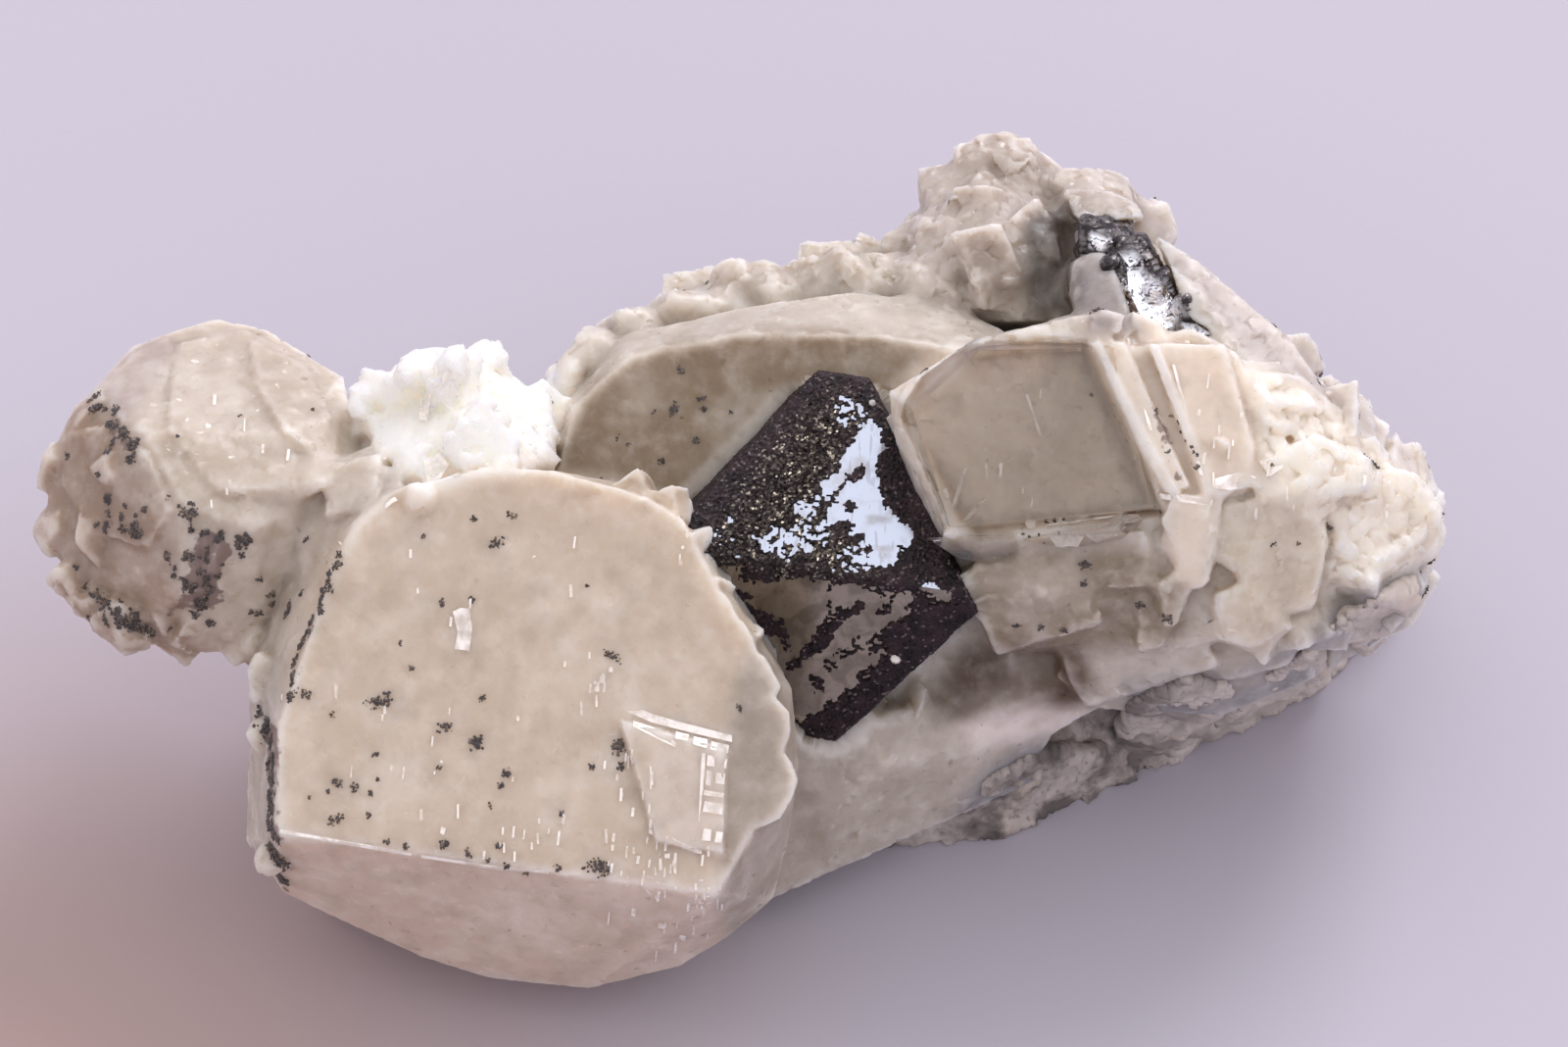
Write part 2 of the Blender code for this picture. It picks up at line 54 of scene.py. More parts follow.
PHOTO_WIDTH, PHOTO_HEIGHT = 1600, 1068
SIGHT_ELEVATION = math.radians(50)
SIGHT_DISTANCE = 0.6
SIGHT_SPREAD = 0.05  # metres across the view at the aim
AIM = Vector((0.0010152, -0.0014545, 0.0115232))
TOWARDS_EYE = Vector((0, -math.cos(SIGHT_ELEVATION), math.sin(SIGHT_ELEVATION)))
UP_VIEW = Vector((0, math.sin(SIGHT_ELEVATION), math.cos(SIGHT_ELEVATION)))
EYE = AIM + SIGHT_DISTANCE * TOWARDS_EYE
MIDDLE = Vector((0.0000777, -0.0023163, 0.0108))
MIDDLE_PIXEL = (770, 570)  # the pixel that MIDDLE is seen at
PIXELS_PER_MM = 32
PIXELS_PER_SLOPE = PHOTO_WIDTH * SIGHT_DISTANCE / SIGHT_SPREAD

camera_lens = bpy.data.cameras.new("sight")
camera_lens.sensor_width = 36
camera_lens.lens = camera_lens.sensor_width * SIGHT_DISTANCE / SIGHT_SPREAD
camera = bpy.data.objects.new("sight", camera_lens)
camera.location = EYE
camera.rotation_euler = (math.pi / 2 - SIGHT_ELEVATION, 0, 0)
bpy.context.scene.collection.objects.link(camera)
bpy.context.scene.camera = camera


def pixels_of(points):
    """The pixels, across and down, that points in metres are seen at."""
    away = points - np.array(EYE)
    depth = -away @ np.array(TOWARDS_EYE)
    across = PHOTO_WIDTH / 2 + PIXELS_PER_SLOPE * away[:, 0] / depth
    down = PHOTO_HEIGHT / 2 - PIXELS_PER_SLOPE * (away @ np.array(UP_VIEW)) / depth
    return np.stack((across, down), 1)


def spot(across, down, toward):
    """The point seen at a pixel, toward millimetres nearer to the eye than the cluster's middle."""
    ray = sight_ray(across, down)
    goal = MIDDLE + TOWARDS_EYE * (float(toward) * MM)
    return EYE + ray * ((goal - EYE).dot(TOWARDS_EYE) / ray.dot(TOWARDS_EYE))


def sight_ray(across, down):
    """The direction in which a pixel is seen."""
    side = float(across - PHOTO_WIDTH / 2) / PIXELS_PER_SLOPE
    rise = float(PHOTO_HEIGHT / 2 - down) / PIXELS_PER_SLOPE
    return (Vector((side, 0, 0)) + rise * UP_VIEW - TOWARDS_EYE).normalized()


# The floor and the light
# Pale lilac card, lit by a large soft window high on the right and behind, with a softbox above
# whose mirror image is the bright patch on the octahedron's upper face.

CARD_SIZE = 3.0
CARD_TONE = (179, 175, 186)
# The card is painted darker and warmer round a spot in front on the left of the cluster: a painted shadow.
PAINTED_SHADOW = {"place": (-0.024, -0.016, 0), "tone": (171, 149, 145), "reach": 0.031}
WINDOW = {"towards": (0.36, 0.62, 0.70), "distance": 0.55, "size": 0.26, "power": 1.6,
          "tone": (250, 247, 255)}
SOFTBOX = {"towards": (0.149, 0.298, 0.944), "distance": 0.5, "size": 0.16, "power": 0.066,
           "tone": (216, 230, 255)}
CEILING_TONE = (243, 239, 240)
WALL_TONE = (216, 207, 220)
ROOM_STRENGTH = 1.27


def tone(red, green, blue):
    """A colour named in screen values from 0 to 255, as the linear one that shaders take."""
    shares = [value / 255 for value in (red, green, blue)]
    return [s / 12.92 if s <= 0.04045 else ((s + 0.055) / 1.055) ** 2.4 for s in shares]


class Shade:
    """A socket in a material. Sums and products on it add the Math nodes that work them out."""

    def __init__(self, tree, socket=None):
        self.tree = tree
        self.socket = socket

    def node(self, kind, settings, sockets, out=0):
        """Adds a node: its settings first, then what goes into its sockets."""
        made = self.tree.nodes.new("ShaderNode" + kind)
        for name, value in settings.items():
            setattr(made, name, value)
        for name, value in sockets.items():
            if isinstance(value, Shade):
                self.tree.links.new(value.socket, made.inputs[name])
            elif made.inputs[name].type == "RGBA":
                made.inputs[name].default_value = (*value[:3], 1)
            else:
                made.inputs[name].default_value = value
        return Shade(self.tree, made.outputs[out])

    def maths(self, operation, *values):
        return self.node("Math", {"operation": operation}, dict(enumerate(values)))

    def __add__(self, other):
        return self.maths("ADD", self, other)

    def __sub__(self, other):
        return self.maths("SUBTRACT", self, other)

    def __rsub__(self, other):
        return self.maths("SUBTRACT", other, self)

    def __mul__(self, other):
        return self.maths("MULTIPLY", self, other)

    __radd__ = __add__
    __rmul__ = __mul__

    def between(self, low, high):
        """0 up to low, 1 from high on, and a soft rise between them."""
        return self.node("MapRange", {"interpolation_type": "SMOOTHSTEP"},
                         {"Value": self, "From Min": low, "From Max": high})

    def vector(self, operation, *others, **more):
        sockets = dict(enumerate((self, *others)))
        return self.node("VectorMath", {"operation": operation}, {**sockets, **more})

    def swing(self, reach):
        """A random colour as a push of up to half of reach each way."""
        return self.vector("SUBTRACT", (0.5, 0.5, 0.5)).vector("SCALE", Scale=reach)

    def mix(self, share, first, second):
        return self.node("Mix", {"data_type": "RGBA"}, {0: share, 6: first, 7: second}, out=2)

    def noise(self, size, detail=2.0, place=None, **more):
        """Clouds from 0 to 1 about as wide as size, in metres."""
        place = place or self.place()
        return self.node("TexNoise", {}, {"Vector": place, "Scale": 1 / size, "Detail": detail, **more})

    def bump(self, strength, distance, **more):
        return self.node("Bump", {}, {"Strength": strength, "Distance": distance, "Height": self, **more})

    def place(self):
        return self.node("TexCoord", {}, {}, out="Object")

    def upright(self):
        return self.node("NewGeometry", {}, {}, out="Normal")

    def field(self, name):
        return self.node("Attribute", {"attribute_name": name}, {}, out="Fac")


def material(name, **steady):
    """A Principled material with its steady values set, as the tree's shade and the shader node."""
    made = bpy.data.materials.new(name)
    made.use_nodes = True
    shader = made.node_tree.nodes["Principled BSDF"]
    for socket, value in steady.items():
        shader.inputs[socket.replace("_", " ")].default_value = value
    return made, Shade(made.node_tree), shader


def feed(shade, shader, **parts):
    for socket, value in parts.items():
        shade.tree.links.new(value.socket, shader.inputs[socket.replace("_", " ")])


card_mesh = bpy.data.meshes.new("card")
reach = CARD_SIZE / 2
card_mesh.from_pydata([(-reach, -reach, 0), (reach, -reach, 0), (reach, reach, 0), (-reach, reach, 0)], [],
                      [(0, 1, 2, 3)])
card = bpy.data.objects.new("card", card_mesh)
bpy.context.scene.collection.objects.link(card)
card_paper, shade, shader = material("pale_card", Roughness=0.9, Specular_IOR_Level=0.2)
fibre = shade.noise(0.4 * MM, 3)
pale = shade.mix(shade.noise(60 * MM), tone(*CARD_TONE), tone(*[value + 5 for value in CARD_TONE]))
# painted shadow: the card darkens and warms towards that spot
away = shade.node("VectorMath", {"operation": "DISTANCE"},
                  {0: shade.place(), 1: PAINTED_SHADOW["place"]}, out="Value")
pale = shade.mix(away.between(0, PAINTED_SHADOW["reach"]), tone(*PAINTED_SHADOW["tone"]), pale)
feed(shade, shader, Base_Color=pale, Normal=fibre.bump(0.15, 0.05 * MM))
card_mesh.materials.append(card_paper)

for name, light in (("window", WINDOW), ("softbox", SOFTBOX)):
    lamp = bpy.data.lights.new(name, "AREA")
    lamp.shape = "SQUARE"
    lamp.size = light["size"]
    lamp.energy = light["power"]
    lamp.color = tone(*light["tone"])
    towards = Vector(light["towards"]).normalized()
    holder = bpy.data.objects.new(name, lamp)
    holder.location = AIM + towards * light["distance"]
    holder.rotation_euler = towards.to_track_quat("Z", "Y").to_euler()
    bpy.context.scene.collection.objects.link(holder)

room = bpy.data.worlds.new("room")
room.use_nodes = True
around = Shade(room.node_tree)
height = around.node("SeparateXYZ", {}, {0: around.node("TexCoord", {}, {}, out="Generated")}, out="Z")
glow = around.mix(height.between(0.0, 0.9), tone(*WALL_TONE), tone(*CEILING_TONE))
room.node_tree.links.new(glow.socket, room.node_tree.nodes["Background"].inputs["Color"])
room.node_tree.nodes["Background"].inputs["Strength"].default_value = ROOM_STRENGTH
bpy.context.scene.world = room
bpy.context.scene.view_settings.view_transform = "Standard"

# The calcite
# One cluster of intergrown calcite crystals. Flat cleavage faces are waxy and hardly marked, and
# between them the crystal broke into angular grains, so the zones differ in relief and colour.
# Where a zone lies in shade, its colour is darker: painted shade.

CALCITE_GRAIN = 0.09 * MM  # side of the mesh's cells before it is thinned
CALCITE_FACES = 192000
ROUGH_GRAIN, FINE_GRAIN = 0.55, 0.27  # mm across the broken facets of its relief
CHIPPED_PATCH = 0.8  # mm over which edges go from chipped to worn
FRONT_KEEP = 0.15  # share of the thinning behind that the faces in front get
WORN_ROUNDS = 3  # of easing where edges are worn
ZONE_EDGE = 14  # pixels over which one zone passes into the next
DOMAIN = 4.0  # mm over which neighbouring rhombs lie the same way
DOMAIN_JITTER = 0.12  # radians
RHOMB_BREAKS, RHOMB_POINTS = 8, 44  # broken corners of a rhomb, and points over it
CLEAVAGE = Matrix.Scale(0.72, 3, Vector((1, 1, 1)).normalized())  # turns a cube into calcite's rhomb
CLOSE_UP = 0.42  # mm of air beside the octahedron that the calcite grows shut
RHOMB_SINK = 0.40  # share of a rhomb's size that its middle lies under the face it grew on
RHOMB_FOOT = 2.5  # mm above the floor under which none grows
EDGE_ON, SPARSE = 0.55, 0.2  # none grows on a face seen at a slant where they are as sparse as this

# The hidden back and underside, where no zone is drawn.
PLAIN = {"tint_and_shade": (203, 194, 182), "relief": 0.03, "grains": (0.1, 1.0, 2.2)}

# Each zone is drawn in pixels. Its relief is in millimetres, and its grains are how many rhombs
# stand on a square millimetre and the smallest and largest of them in millimetres.
ZONES = {
    "seen_side": {
        "outline": [(0, 300), (900, 60), (1600, 100), (1600, 1060), (0, 1060)],
        "tint_and_shade": (190, 181, 169), "relief": 0.03, "grains": (0.0, 1.0, 2.2)},
    "left_crystal": {
        "outline": [(30, 545), (40, 470), (60, 410), (95, 370), (130, 335), (210, 305), (310, 335),
                    (360, 385), (375, 500), (345, 560), (300, 640), (258, 680), (150, 660), (80, 610)],
        "tint_and_shade": (195, 182, 166), "relief": 0.02, "grains": (0.0, 0.8, 1.6)},
    "left_crystal_shoulder": {
        "outline": [(95, 395), (130, 350), (175, 330), (180, 360), (160, 400), (130, 432), (108, 425)],
        "tint_and_shade": (178, 163, 155), "relief": 0.008, "grains": (0.0, 0.5, 1.0)},
    "left_crystal_side": {
        "outline": [(30, 545), (40, 470), (65, 420), (95, 400), (125, 450), (165, 530), (190, 600),
                    (190, 660), (140, 650), (75, 600)],
        "tint_and_shade": (160, 136, 116), "relief": 0.02, "grains": (0.0, 0.5, 1.2)},
    "left_crystal_foot": {
        "outline": [(60, 570), (110, 600), (160, 625), (215, 650), (215, 690), (100, 660), (50, 600)],
        "tint_and_shade": (164, 142, 124), "relief": 0.04, "grains": (0.0, 0.6, 1.4)},
    "sugary_lump": {
        "outline": [(350, 400), (380, 355), (430, 330), (510, 345), (580, 370), (585, 420), (565, 455),
                    (520, 480), (470, 486), (438, 508), (415, 480), (375, 450)],
        "tint_and_shade": (255, 250, 239), "relief": 0.05, "grains": (2.2, 0.5, 1.0)},
    # painted shade: the back crystal lies in shade, and its darker colour stands in for it
    "back_crystal": {
        "outline": [(570, 430), (600, 385), (660, 350), (760, 335), (860, 330), (965, 340), (905, 400),
                    (850, 395), (760, 470), (712, 520), (640, 500), (575, 485)],
        "tint_and_shade": (138, 118, 92), "relief": 0.012, "grains": (0.0, 0.5, 1.0)},
    "back_rim": {
        "outline": [(560, 372), (600, 335), (700, 303), (800, 288), (920, 292), (1010, 325), (960, 345),
                    (860, 332), (760, 338), (660, 353), (600, 385)],
        "tint_and_shade": (190, 181, 168), "relief": 0.02, "grains": (0.0, 1.0, 1.8)},
    "back_ridge": {
        "outline": [(530, 380), (580, 320), (680, 270), (740, 245), (900, 230), (930, 285), (800, 285),
                    (700, 298), (600, 330), (560, 370)],
        "tint_and_shade": (184, 173, 159), "relief": 0.05, "grains": (0.0, 1.4, 2.8)},
    "knob": {
        "outline": [(905, 250), (935, 190), (960, 150), (1000, 120), (1060, 130), (1180, 200), (1170, 235),
                    (1110, 235), (1060, 300), (1000, 325), (940, 295)],
        "tint_and_shade": (183, 171, 161), "relief": 0.05, "grains": (0.0, 0.9, 1.8)},
    # painted shade: the hollow under the knob is coloured near black
    "knob_hollow": {
        "outline": [(1045, 235), (1075, 200), (1100, 205), (1118, 245), (1125, 300), (1095, 325),
                    (1050, 320)],
        "tint_and_shade": (68, 58, 51), "relief": 0.02, "grains": (0.0, 0.5, 1.2)},
    "glassy_crystal": {
        "outline": [(905, 400), (955, 362), (1060, 345), (1105, 350), (1135, 400), (1165, 470), (1185, 528),
                    (1110, 550), (1000, 548), (955, 545), (925, 480), (905, 430)],
        "tint_and_shade": (222, 208, 191), "relief": 0.03, "grains": (0.0, 0.5, 1.0)},
    "cleavage_steps": {
        "outline": [(1105, 330), (1150, 315), (1215, 345), (1280, 375), (1300, 480), (1240, 515),
                    (1225, 600), (1195, 590), (1180, 520), (1150, 430), (1130, 380)],
        "tint_and_shade": (228, 214, 197), "relief": 0.01, "grains": (0.0, 0.6, 1.2)},
    "right_mass": {
        "outline": [(1230, 330), (1330, 370), (1420, 430), (1500, 515), (1500, 570), (1440, 610),
                    (1340, 640), (1250, 640), (1235, 520), (1300, 490), (1280, 400)],
        "tint_and_shade": (246, 238, 223), "relief": 0.06, "grains": (0.0, 0.9, 1.6)},
    "back_slope": {
        "outline": [(1165, 205), (1245, 270), (1310, 340), (1420, 440), (1480, 500), (1400, 450),
                    (1330, 395), (1262, 362), (1215, 300), (1180, 240)],
        "tint_and_shade": (190, 180, 174), "relief": 0.03, "grains": (0.0, 0.8, 1.6)},
    "clear_body": {
        "outline": [(1238, 519), (1289, 505), (1345, 510), (1360, 555), (1345, 625), (1322, 642),
                    (1276, 668), (1240, 650), (1232, 600), (1245, 572)],
        "tint_and_shade": (213, 201, 182), "relief": 0.03, "grains": (0.0, 0.8, 1.6)},
    "centre_lump": {
        "outline": [(975, 560), (1180, 560), (1215, 640), (1180, 660), (1010, 665), (985, 620)],
        "tint_and_shade": (146, 131, 110), "relief": 0.03, "grains": (0.0, 1.0, 2.0)},
    # partly painted shade: the hollow's dark ochre is partly the calcite's yellow colour and partly shade
    "ochre_hollow": {
        "outline": [(955, 690), (985, 655), (1040, 650), (1100, 660), (1120, 700), (1090, 735), (1010, 745),
                    (950, 735)],
        "tint_and_shade": (94, 70, 44), "relief": 0.012, "grains": (0.1, 0.8, 1.8)},
    "white_band": {
        "outline": [(978, 742), (1010, 728), (1060, 720), (1110, 726), (1152, 738), (1110, 752),
                    (1050, 756), (995, 762)],
        "tint_and_shade": (240, 228, 222), "relief": 0.02, "grains": (0.0, 0.6, 1.2)},
    "front_block": {
        "outline": [(285, 740), (300, 620), (345, 550), (400, 505), (470, 478), (560, 476), (640, 496),
                    (712, 515), (712, 560), (740, 600), (795, 650), (818, 720), (825, 810), (735, 905),
                    (620, 890), (512, 884), (400, 867), (283, 848)],
        "tint_and_shade": (210, 194, 174), "relief": 0.012, "grains": (0.0, 0.5, 1.0)},
    "front_block_bevel": {
        "outline": [(283, 848), (400, 867), (512, 884), (620, 890), (735, 905), (745, 960), (700, 995),
                    (600, 1020), (430, 990), (280, 915)],
        "tint_and_shade": (213, 193, 177), "relief": 0.012, "grains": (0.0, 0.5, 1.0)},
    "block_window": {
        "outline": [(640, 722), (747, 752), (740, 880), (662, 850), (663, 770)],
        "tint_and_shade": (224, 211, 196), "relief": 0.012, "grains": (0.0, 0.5, 1.0)},
    "front_block_flank": {
        "outline": [(735, 905), (742, 760), (752, 690), (770, 640), (800, 650), (822, 720), (835, 800),
                    (850, 860), (790, 930), (740, 965)],
        "tint_and_shade": (168, 156, 142), "relief": 0.012, "grains": (0.05, 0.8, 1.6)},
    # painted shade: this calcite face beside the seam is coloured grey for the shade it lies in
    "seam_side": {
        "outline": [(1096, 246), (1136, 250), (1168, 340), (1110, 342)],
        "tint_and_shade": (150, 141, 139), "relief": 0.02, "grains": (0.0, 0.6, 1.2)},
    "rock_side": {
        "outline": [(1150, 695), (1250, 690), (1330, 655), (1360, 610), (1450, 580), (1470, 600),
                    (1350, 720), (1260, 780), (1150, 800), (1040, 845), (950, 860), (1010, 780),
                    (1060, 752), (1150, 750)],
        "tint_and_shade": (140, 137, 139), "relief": 0.02, "grains": (0.0, 0.6, 1.2)},
}

# Small forms that the solid leaves to here. Each is the hull of some points, given as pixels across and
# down and millimetres towards the eye, and of the same points pushed back by the millimetres after them.
SLABS = {
    "cap": ([(1025, 339, 4.6), (1126, 315, 4.7), (1148, 321, 4.7), (1144, 339, 4.9), (1109, 350, 5.0),
             (1056, 350, 4.9)], 1.5),
    "cap_foot": ([(1010, 350, 4.5), (1056, 348, 5.0), (1109, 349, 5.1), (1100, 358, 5.3),
                  (1040, 360, 5.2)], 1),
    "first_slice": ([(1104, 350, 5.2), (1122, 348, 5.2), (1202, 499, 5.7), (1190, 504, 5.6),
                     (1150, 430, 5.4)], 2),
    "second_slice": ([(1128, 346, 5.0), (1148, 349, 5.0), (1214, 496, 5.5), (1203, 500, 5.5),
                      (1150, 400, 5.2)], 3),
    "third_slice": ([(1152, 352, 4.8), (1170, 354, 4.8), (1232, 500, 5.2), (1215, 504, 5.2)], 3),
    "fourth_slice": ([(1171, 350, 5.2), (1182, 351, 5.2), (1243, 502, 5.5), (1231, 506, 5.5)], 3),
    "bright_block": ([(1186, 350, 4.9), (1250, 352, 4.5), (1258, 383, 4.6), (1280, 455, 5.0),
                      (1276, 497, 5.1), (1242, 508, 5.4), (1214, 440, 5.3)], 4),
    "behind_the_block": ([(1160, 345, 4.3), (1215, 335, 4.1), (1262, 360, 4.2), (1290, 420, 4.5),
                          (1300, 470, 4.7), (1270, 500, 4.9)], 4),
    "hanging_plate": ([(1184, 532, 5.5), (1198, 503, 5.6), (1236, 507, 5.4), (1232, 566, 5.1),
                       (1223, 592, 4.9), (1206, 578, 5.1)], 3),
    "lower_plate": ([(1179, 594, 4.9), (1205, 580, 5.0), (1215, 600, 4.7), (1202, 638, 4.2),
                     (1188, 641, 4.2)], 3),
    "clear_body": ([(1241, 519, 4.8), (1289, 507, 4.9), (1340, 507, 4.6), (1356, 550, 3.9),
                    (1342, 622, 3.2), (1302, 626, 3.5), (1270, 594, 4.2), (1245, 572, 4.5)], 4),
    "fan": ([(1236, 607, 4.2), (1276, 590, 4.2), (1302, 629, 3.7), (1322, 640, 3.1), (1276, 664, 3.1),
             (1245, 652, 3.3)], 3),
    "right_ridge": ([(1290, 470, 4.9), (1340, 440, 4.4), (1400, 470, 3.3), (1410, 500, 3.0),
                     (1345, 512, 4.5)], 4),
    "right_tip": ([(1400, 480, 2.9), (1440, 480, 2.0), (1474, 520, 1.2), (1466, 570, 0.8), (1400, 590, 2.0),
                   (1360, 560, 3.4)], 4),
    "upper_right": ([(1262, 372, 4.1), (1330, 385, 3.3), (1380, 430, 2.8), (1392, 470, 3.1),
                     (1330, 450, 4.2), (1290, 430, 4.7)], 4),
    "lower_shell": ([(1078, 651, 2.6), (1126, 625, 3.6), (1200, 640, 3.2), (1240, 665, 2.5),
                     (1245, 680, 2.1), (1188, 692, 1.5), (1144, 708, 1.0), (1109, 722, 0.4),
                     (1091, 695, 1.2)], 4),
    "below_the_plates": ([(1196, 556, 4.0), (1266, 552, 4.1), (1266, 650, 3.0), (1196, 664, 2.9)], 4),
    "beside_the_body": ([(1232, 480, 4.6), (1262, 500, 4.7), (1262, 560, 4.2), (1226, 560, 4.5)], 4),
    "left_of_the_seam": ([(1092, 268, -0.6), (1112, 256, -0.4), (1132, 258, 0.0), (1142, 284, 1.0),
                          (1150, 312, 1.8), (1160, 338, 2.4), (1104, 336, 1.8), (1090, 300, 0.0)], 4),
    "right_of_the_seam": ([(1192, 268, 1.2), (1210, 288, 2.0), (1212, 322, 2.5), (1240, 338, 2.6),
                           (1276, 362, 2.7), (1296, 378, 2.6), (1292, 345, 2.0), (1250, 300, 1.4)], 4),
    "above_the_seam": ([(1084, 194, -2.6), (1130, 194, -2.6), (1160, 208, -2.2), (1170, 222, -1.6),
                        (1134, 226, -1.2), (1098, 224, -1.2)], 4),
    "under_the_steps": ([(1120, 505, 5.0), (1210, 510, 5.0), (1215, 585, 4.5), (1125, 600, 4.2)], 5),
    "behind_the_slices": ([(1134, 322, 4.2), (1182, 326, 4.1), (1198, 352, 4.5), (1140, 356, 4.6)], 3),
    "under_the_corner": ([(1248, 490, 4.6), (1300, 482, 4.5), (1306, 522, 4.5), (1254, 524, 4.6)], 4),
    "between_the_steps": ([(1155, 365, 4.5), (1195, 365, 4.3), (1240, 510, 4.9), (1190, 510, 4.9)], 6),
    "pale_chunk": ([(981, 587, 4.3), (1008, 573, 4.7), (1065, 576, 4.8), (1118, 594, 4.6), (1126, 636, 4.0),
                    (1065, 642, 3.7), (1016, 670, 3.0), (1008, 647, 3.5)], 3),
    "below_the_ledge": ([(1040, 548, 5.0), (1170, 540, 5.1), (1182, 600, 4.6), (1040, 600, 4.5)], 3),
    "beside_the_octahedron": ([(972, 560, 3.2), (1015, 560, 3.6), (1030, 660, 3.4), (1008, 650, 2.8)], 3),
    "neck_saddle": ([(296, 520, 2.6), (330, 470, 2.8), (372, 462, 3.2), (410, 486, 4.4), (408, 520, 4.9),
                     (350, 560, 4.4), (312, 600, 3.4)], 4),
    "right_of_the_vein": ([(1180, 240, -0.6), (1216, 262, 0.8), (1262, 300, 1.4), (1320, 350, 2.2),
                           (1352, 400, 2.8), (1320, 396, 3.2), (1284, 378, 3.2), (1236, 340, 2.6),
                           (1206, 300, 2.0)], 4),
}
FLAKES = [
    # pixels of a flake that stands on a face, and by how many millimetres
    ([(182, 350), (250, 336), (322, 372), (346, 430), (340, 492), (300, 516), (222, 500),
      (172, 436)], 0.22),
    ([(100, 398), (134, 362), (172, 344), (178, 366), (158, 402), (126, 430)], 0.14),
    ([(70, 440), (110, 432), (150, 462), (176, 520), (150, 560), (90, 540), (62, 492)], 0.18),
    ([(214, 512), (300, 526), (296, 580), (262, 622), (222, 600), (206, 556)], 0.14),
    ([(256, 346), (312, 372), (338, 424), (330, 470), (290, 440), (262, 392)], 0.36),
]
FLAKE_DEPTH = 1.4  # mm
FOOT_SINK, LUMP_SINK = 0.42, 0.4  # share of a lump's size that its middle lies below its place
FOOT_LUMPS = [
    # pixels and the size in millimetres
    (84, 586, 1.8), (108, 606, 2.2), (140, 622, 2.4), (176, 628, 2.6), (212, 634, 2.2), (60, 540, 1.8),
    (62, 480, 1.6), (90, 436, 1.8), (246, 640, 2.2), (276, 690, 1.6), (272, 750, 1.4), (282, 868, 1.4),
    (300, 560, 1.8), (128, 480, 2.0), (110, 540, 2.2), (160, 570, 2.4), (230, 560, 2.2), (270, 600, 2.0),
]
LUMPS = [
    # pixels, millimetres towards the eye and the size in millimetres
    (1004, 172, -5.6, 2.6), (1052, 190, -5.2, 3.0), (1030, 232, -3.4, 3.6), (966, 270, -3.2, 4.0),
    (1122, 230, -4.6, 3.8), (984, 216, -4.4, 3.4), (1012, 292, -2.6, 3.2), (944, 306, -2.8, 3.0),
    (1150, 246, -5.2, 3.0), (1096, 210, -5.0, 3.0), (588, 384, -1.6, 2.2), (622, 362, -2.0, 2.6),
    (660, 346, -2.4, 2.8), (700, 334, -2.8, 3.0), (742, 318, -3.2, 3.2), (784, 318, -3.2, 2.8),
    (826, 310, -3.2, 3.0), (868, 302, -3.4, 3.2), (906, 300, -3.4, 3.0), (752, 300, -3.8, 2.2),
]
BLOCK_EDGE = [
    # pixels, and the reach of the shell that broke off there
    (588, 492, 10), (600, 497, 13), (616, 500, 9), (632, 505, 14), (648, 508, 10), (664, 512, 15),
    (680, 520, 12), (692, 534, 14), (700, 552, 12), (708, 572, 16), (724, 594, 26), (744, 618, 30),
    (766, 648, 36), (786, 684, 40), (798, 724, 44), (804, 772, 48),
]
EDGE_ROUND = 14  # corners of a shell's outline
EDGE_SHAKE = 3  # pixels that a shell may lie off its place
SHELL_DEPTH = 0.9  # mm
GLASS_OUTLINE = [(922, 425), (940, 392), (960, 364), (1056, 350), (1108, 353), (1130, 400), (1156, 460),
                 (1180, 520), (1130, 530), (1060, 536), (1000, 545), (978, 532)]
GLASS_DEPTH = 0.9  # mm that the milky calcite lies under the glassy crystal's face
GLASS_FOOT = 2.2  # mm towards the eye below which the milky calcite stays as it is
# Ridges are painted paler, a painted highlight, and hollows darker, a painted shade; the next number sets
# how proud a ridge is at the strongest.
RIDGE_REACH = 0.10 * MM  # height at which a ridge is at its palest
SOFT_ROUNDS = 12  # of the wear on the forms that the clear calcite shows through
SOFT_SHARE = 0.85  # how far those forms take that wear on
SOFT_EDGE, STAIN_EDGE, SUGAR_EDGE, GLASS_EDGE = 24, 22, 20, 10  # pixels
RIDGE_ROUNDS = 24  # of the wear that finds ridges and hollows
SHARP_ANGLE = math.radians(34)
SOFT_SIDES = [  # in pixels: the right side, the ridge with the knob, and the neck
    [(955, 560), (1180, 545), (1240, 530), (1330, 450), (1500, 480), (1500, 640), (1250, 700), (1100, 780),
     (930, 800), (960, 690), (1010, 640)],
    [(520, 400), (600, 300), (740, 240), (930, 220), (960, 160), (1010, 120), (1180, 200), (1100, 320),
     (1000, 340), (850, 320), (640, 380)],
    [(290, 450), (400, 440), (410, 540), (320, 620), (270, 620)],
]
STAINS = [  # in pixels: where sulphide dust lies in the calcite
    [(180, 580), (190, 545), (204, 524), (226, 536), (250, 544), (246, 566), (230, 590), (236, 612),
     (214, 640), (190, 628), (172, 640), (160, 622), (178, 604)],
    [(95, 425), (125, 430), (150, 455), (140, 475), (110, 450)],
    [(330, 570), (352, 565), (330, 620), (308, 700), (292, 745), (296, 700), (315, 630)],
    [(262, 715), (292, 740), (290, 840), (300, 915), (280, 910), (264, 800)],
    [(1163, 398), (1185, 400), (1215, 497), (1195, 500)],
]
BLOCK_PLANE = np.array((0.02, -0.05, 5.4))  # its slopes to the right and up, and mm towards the eye


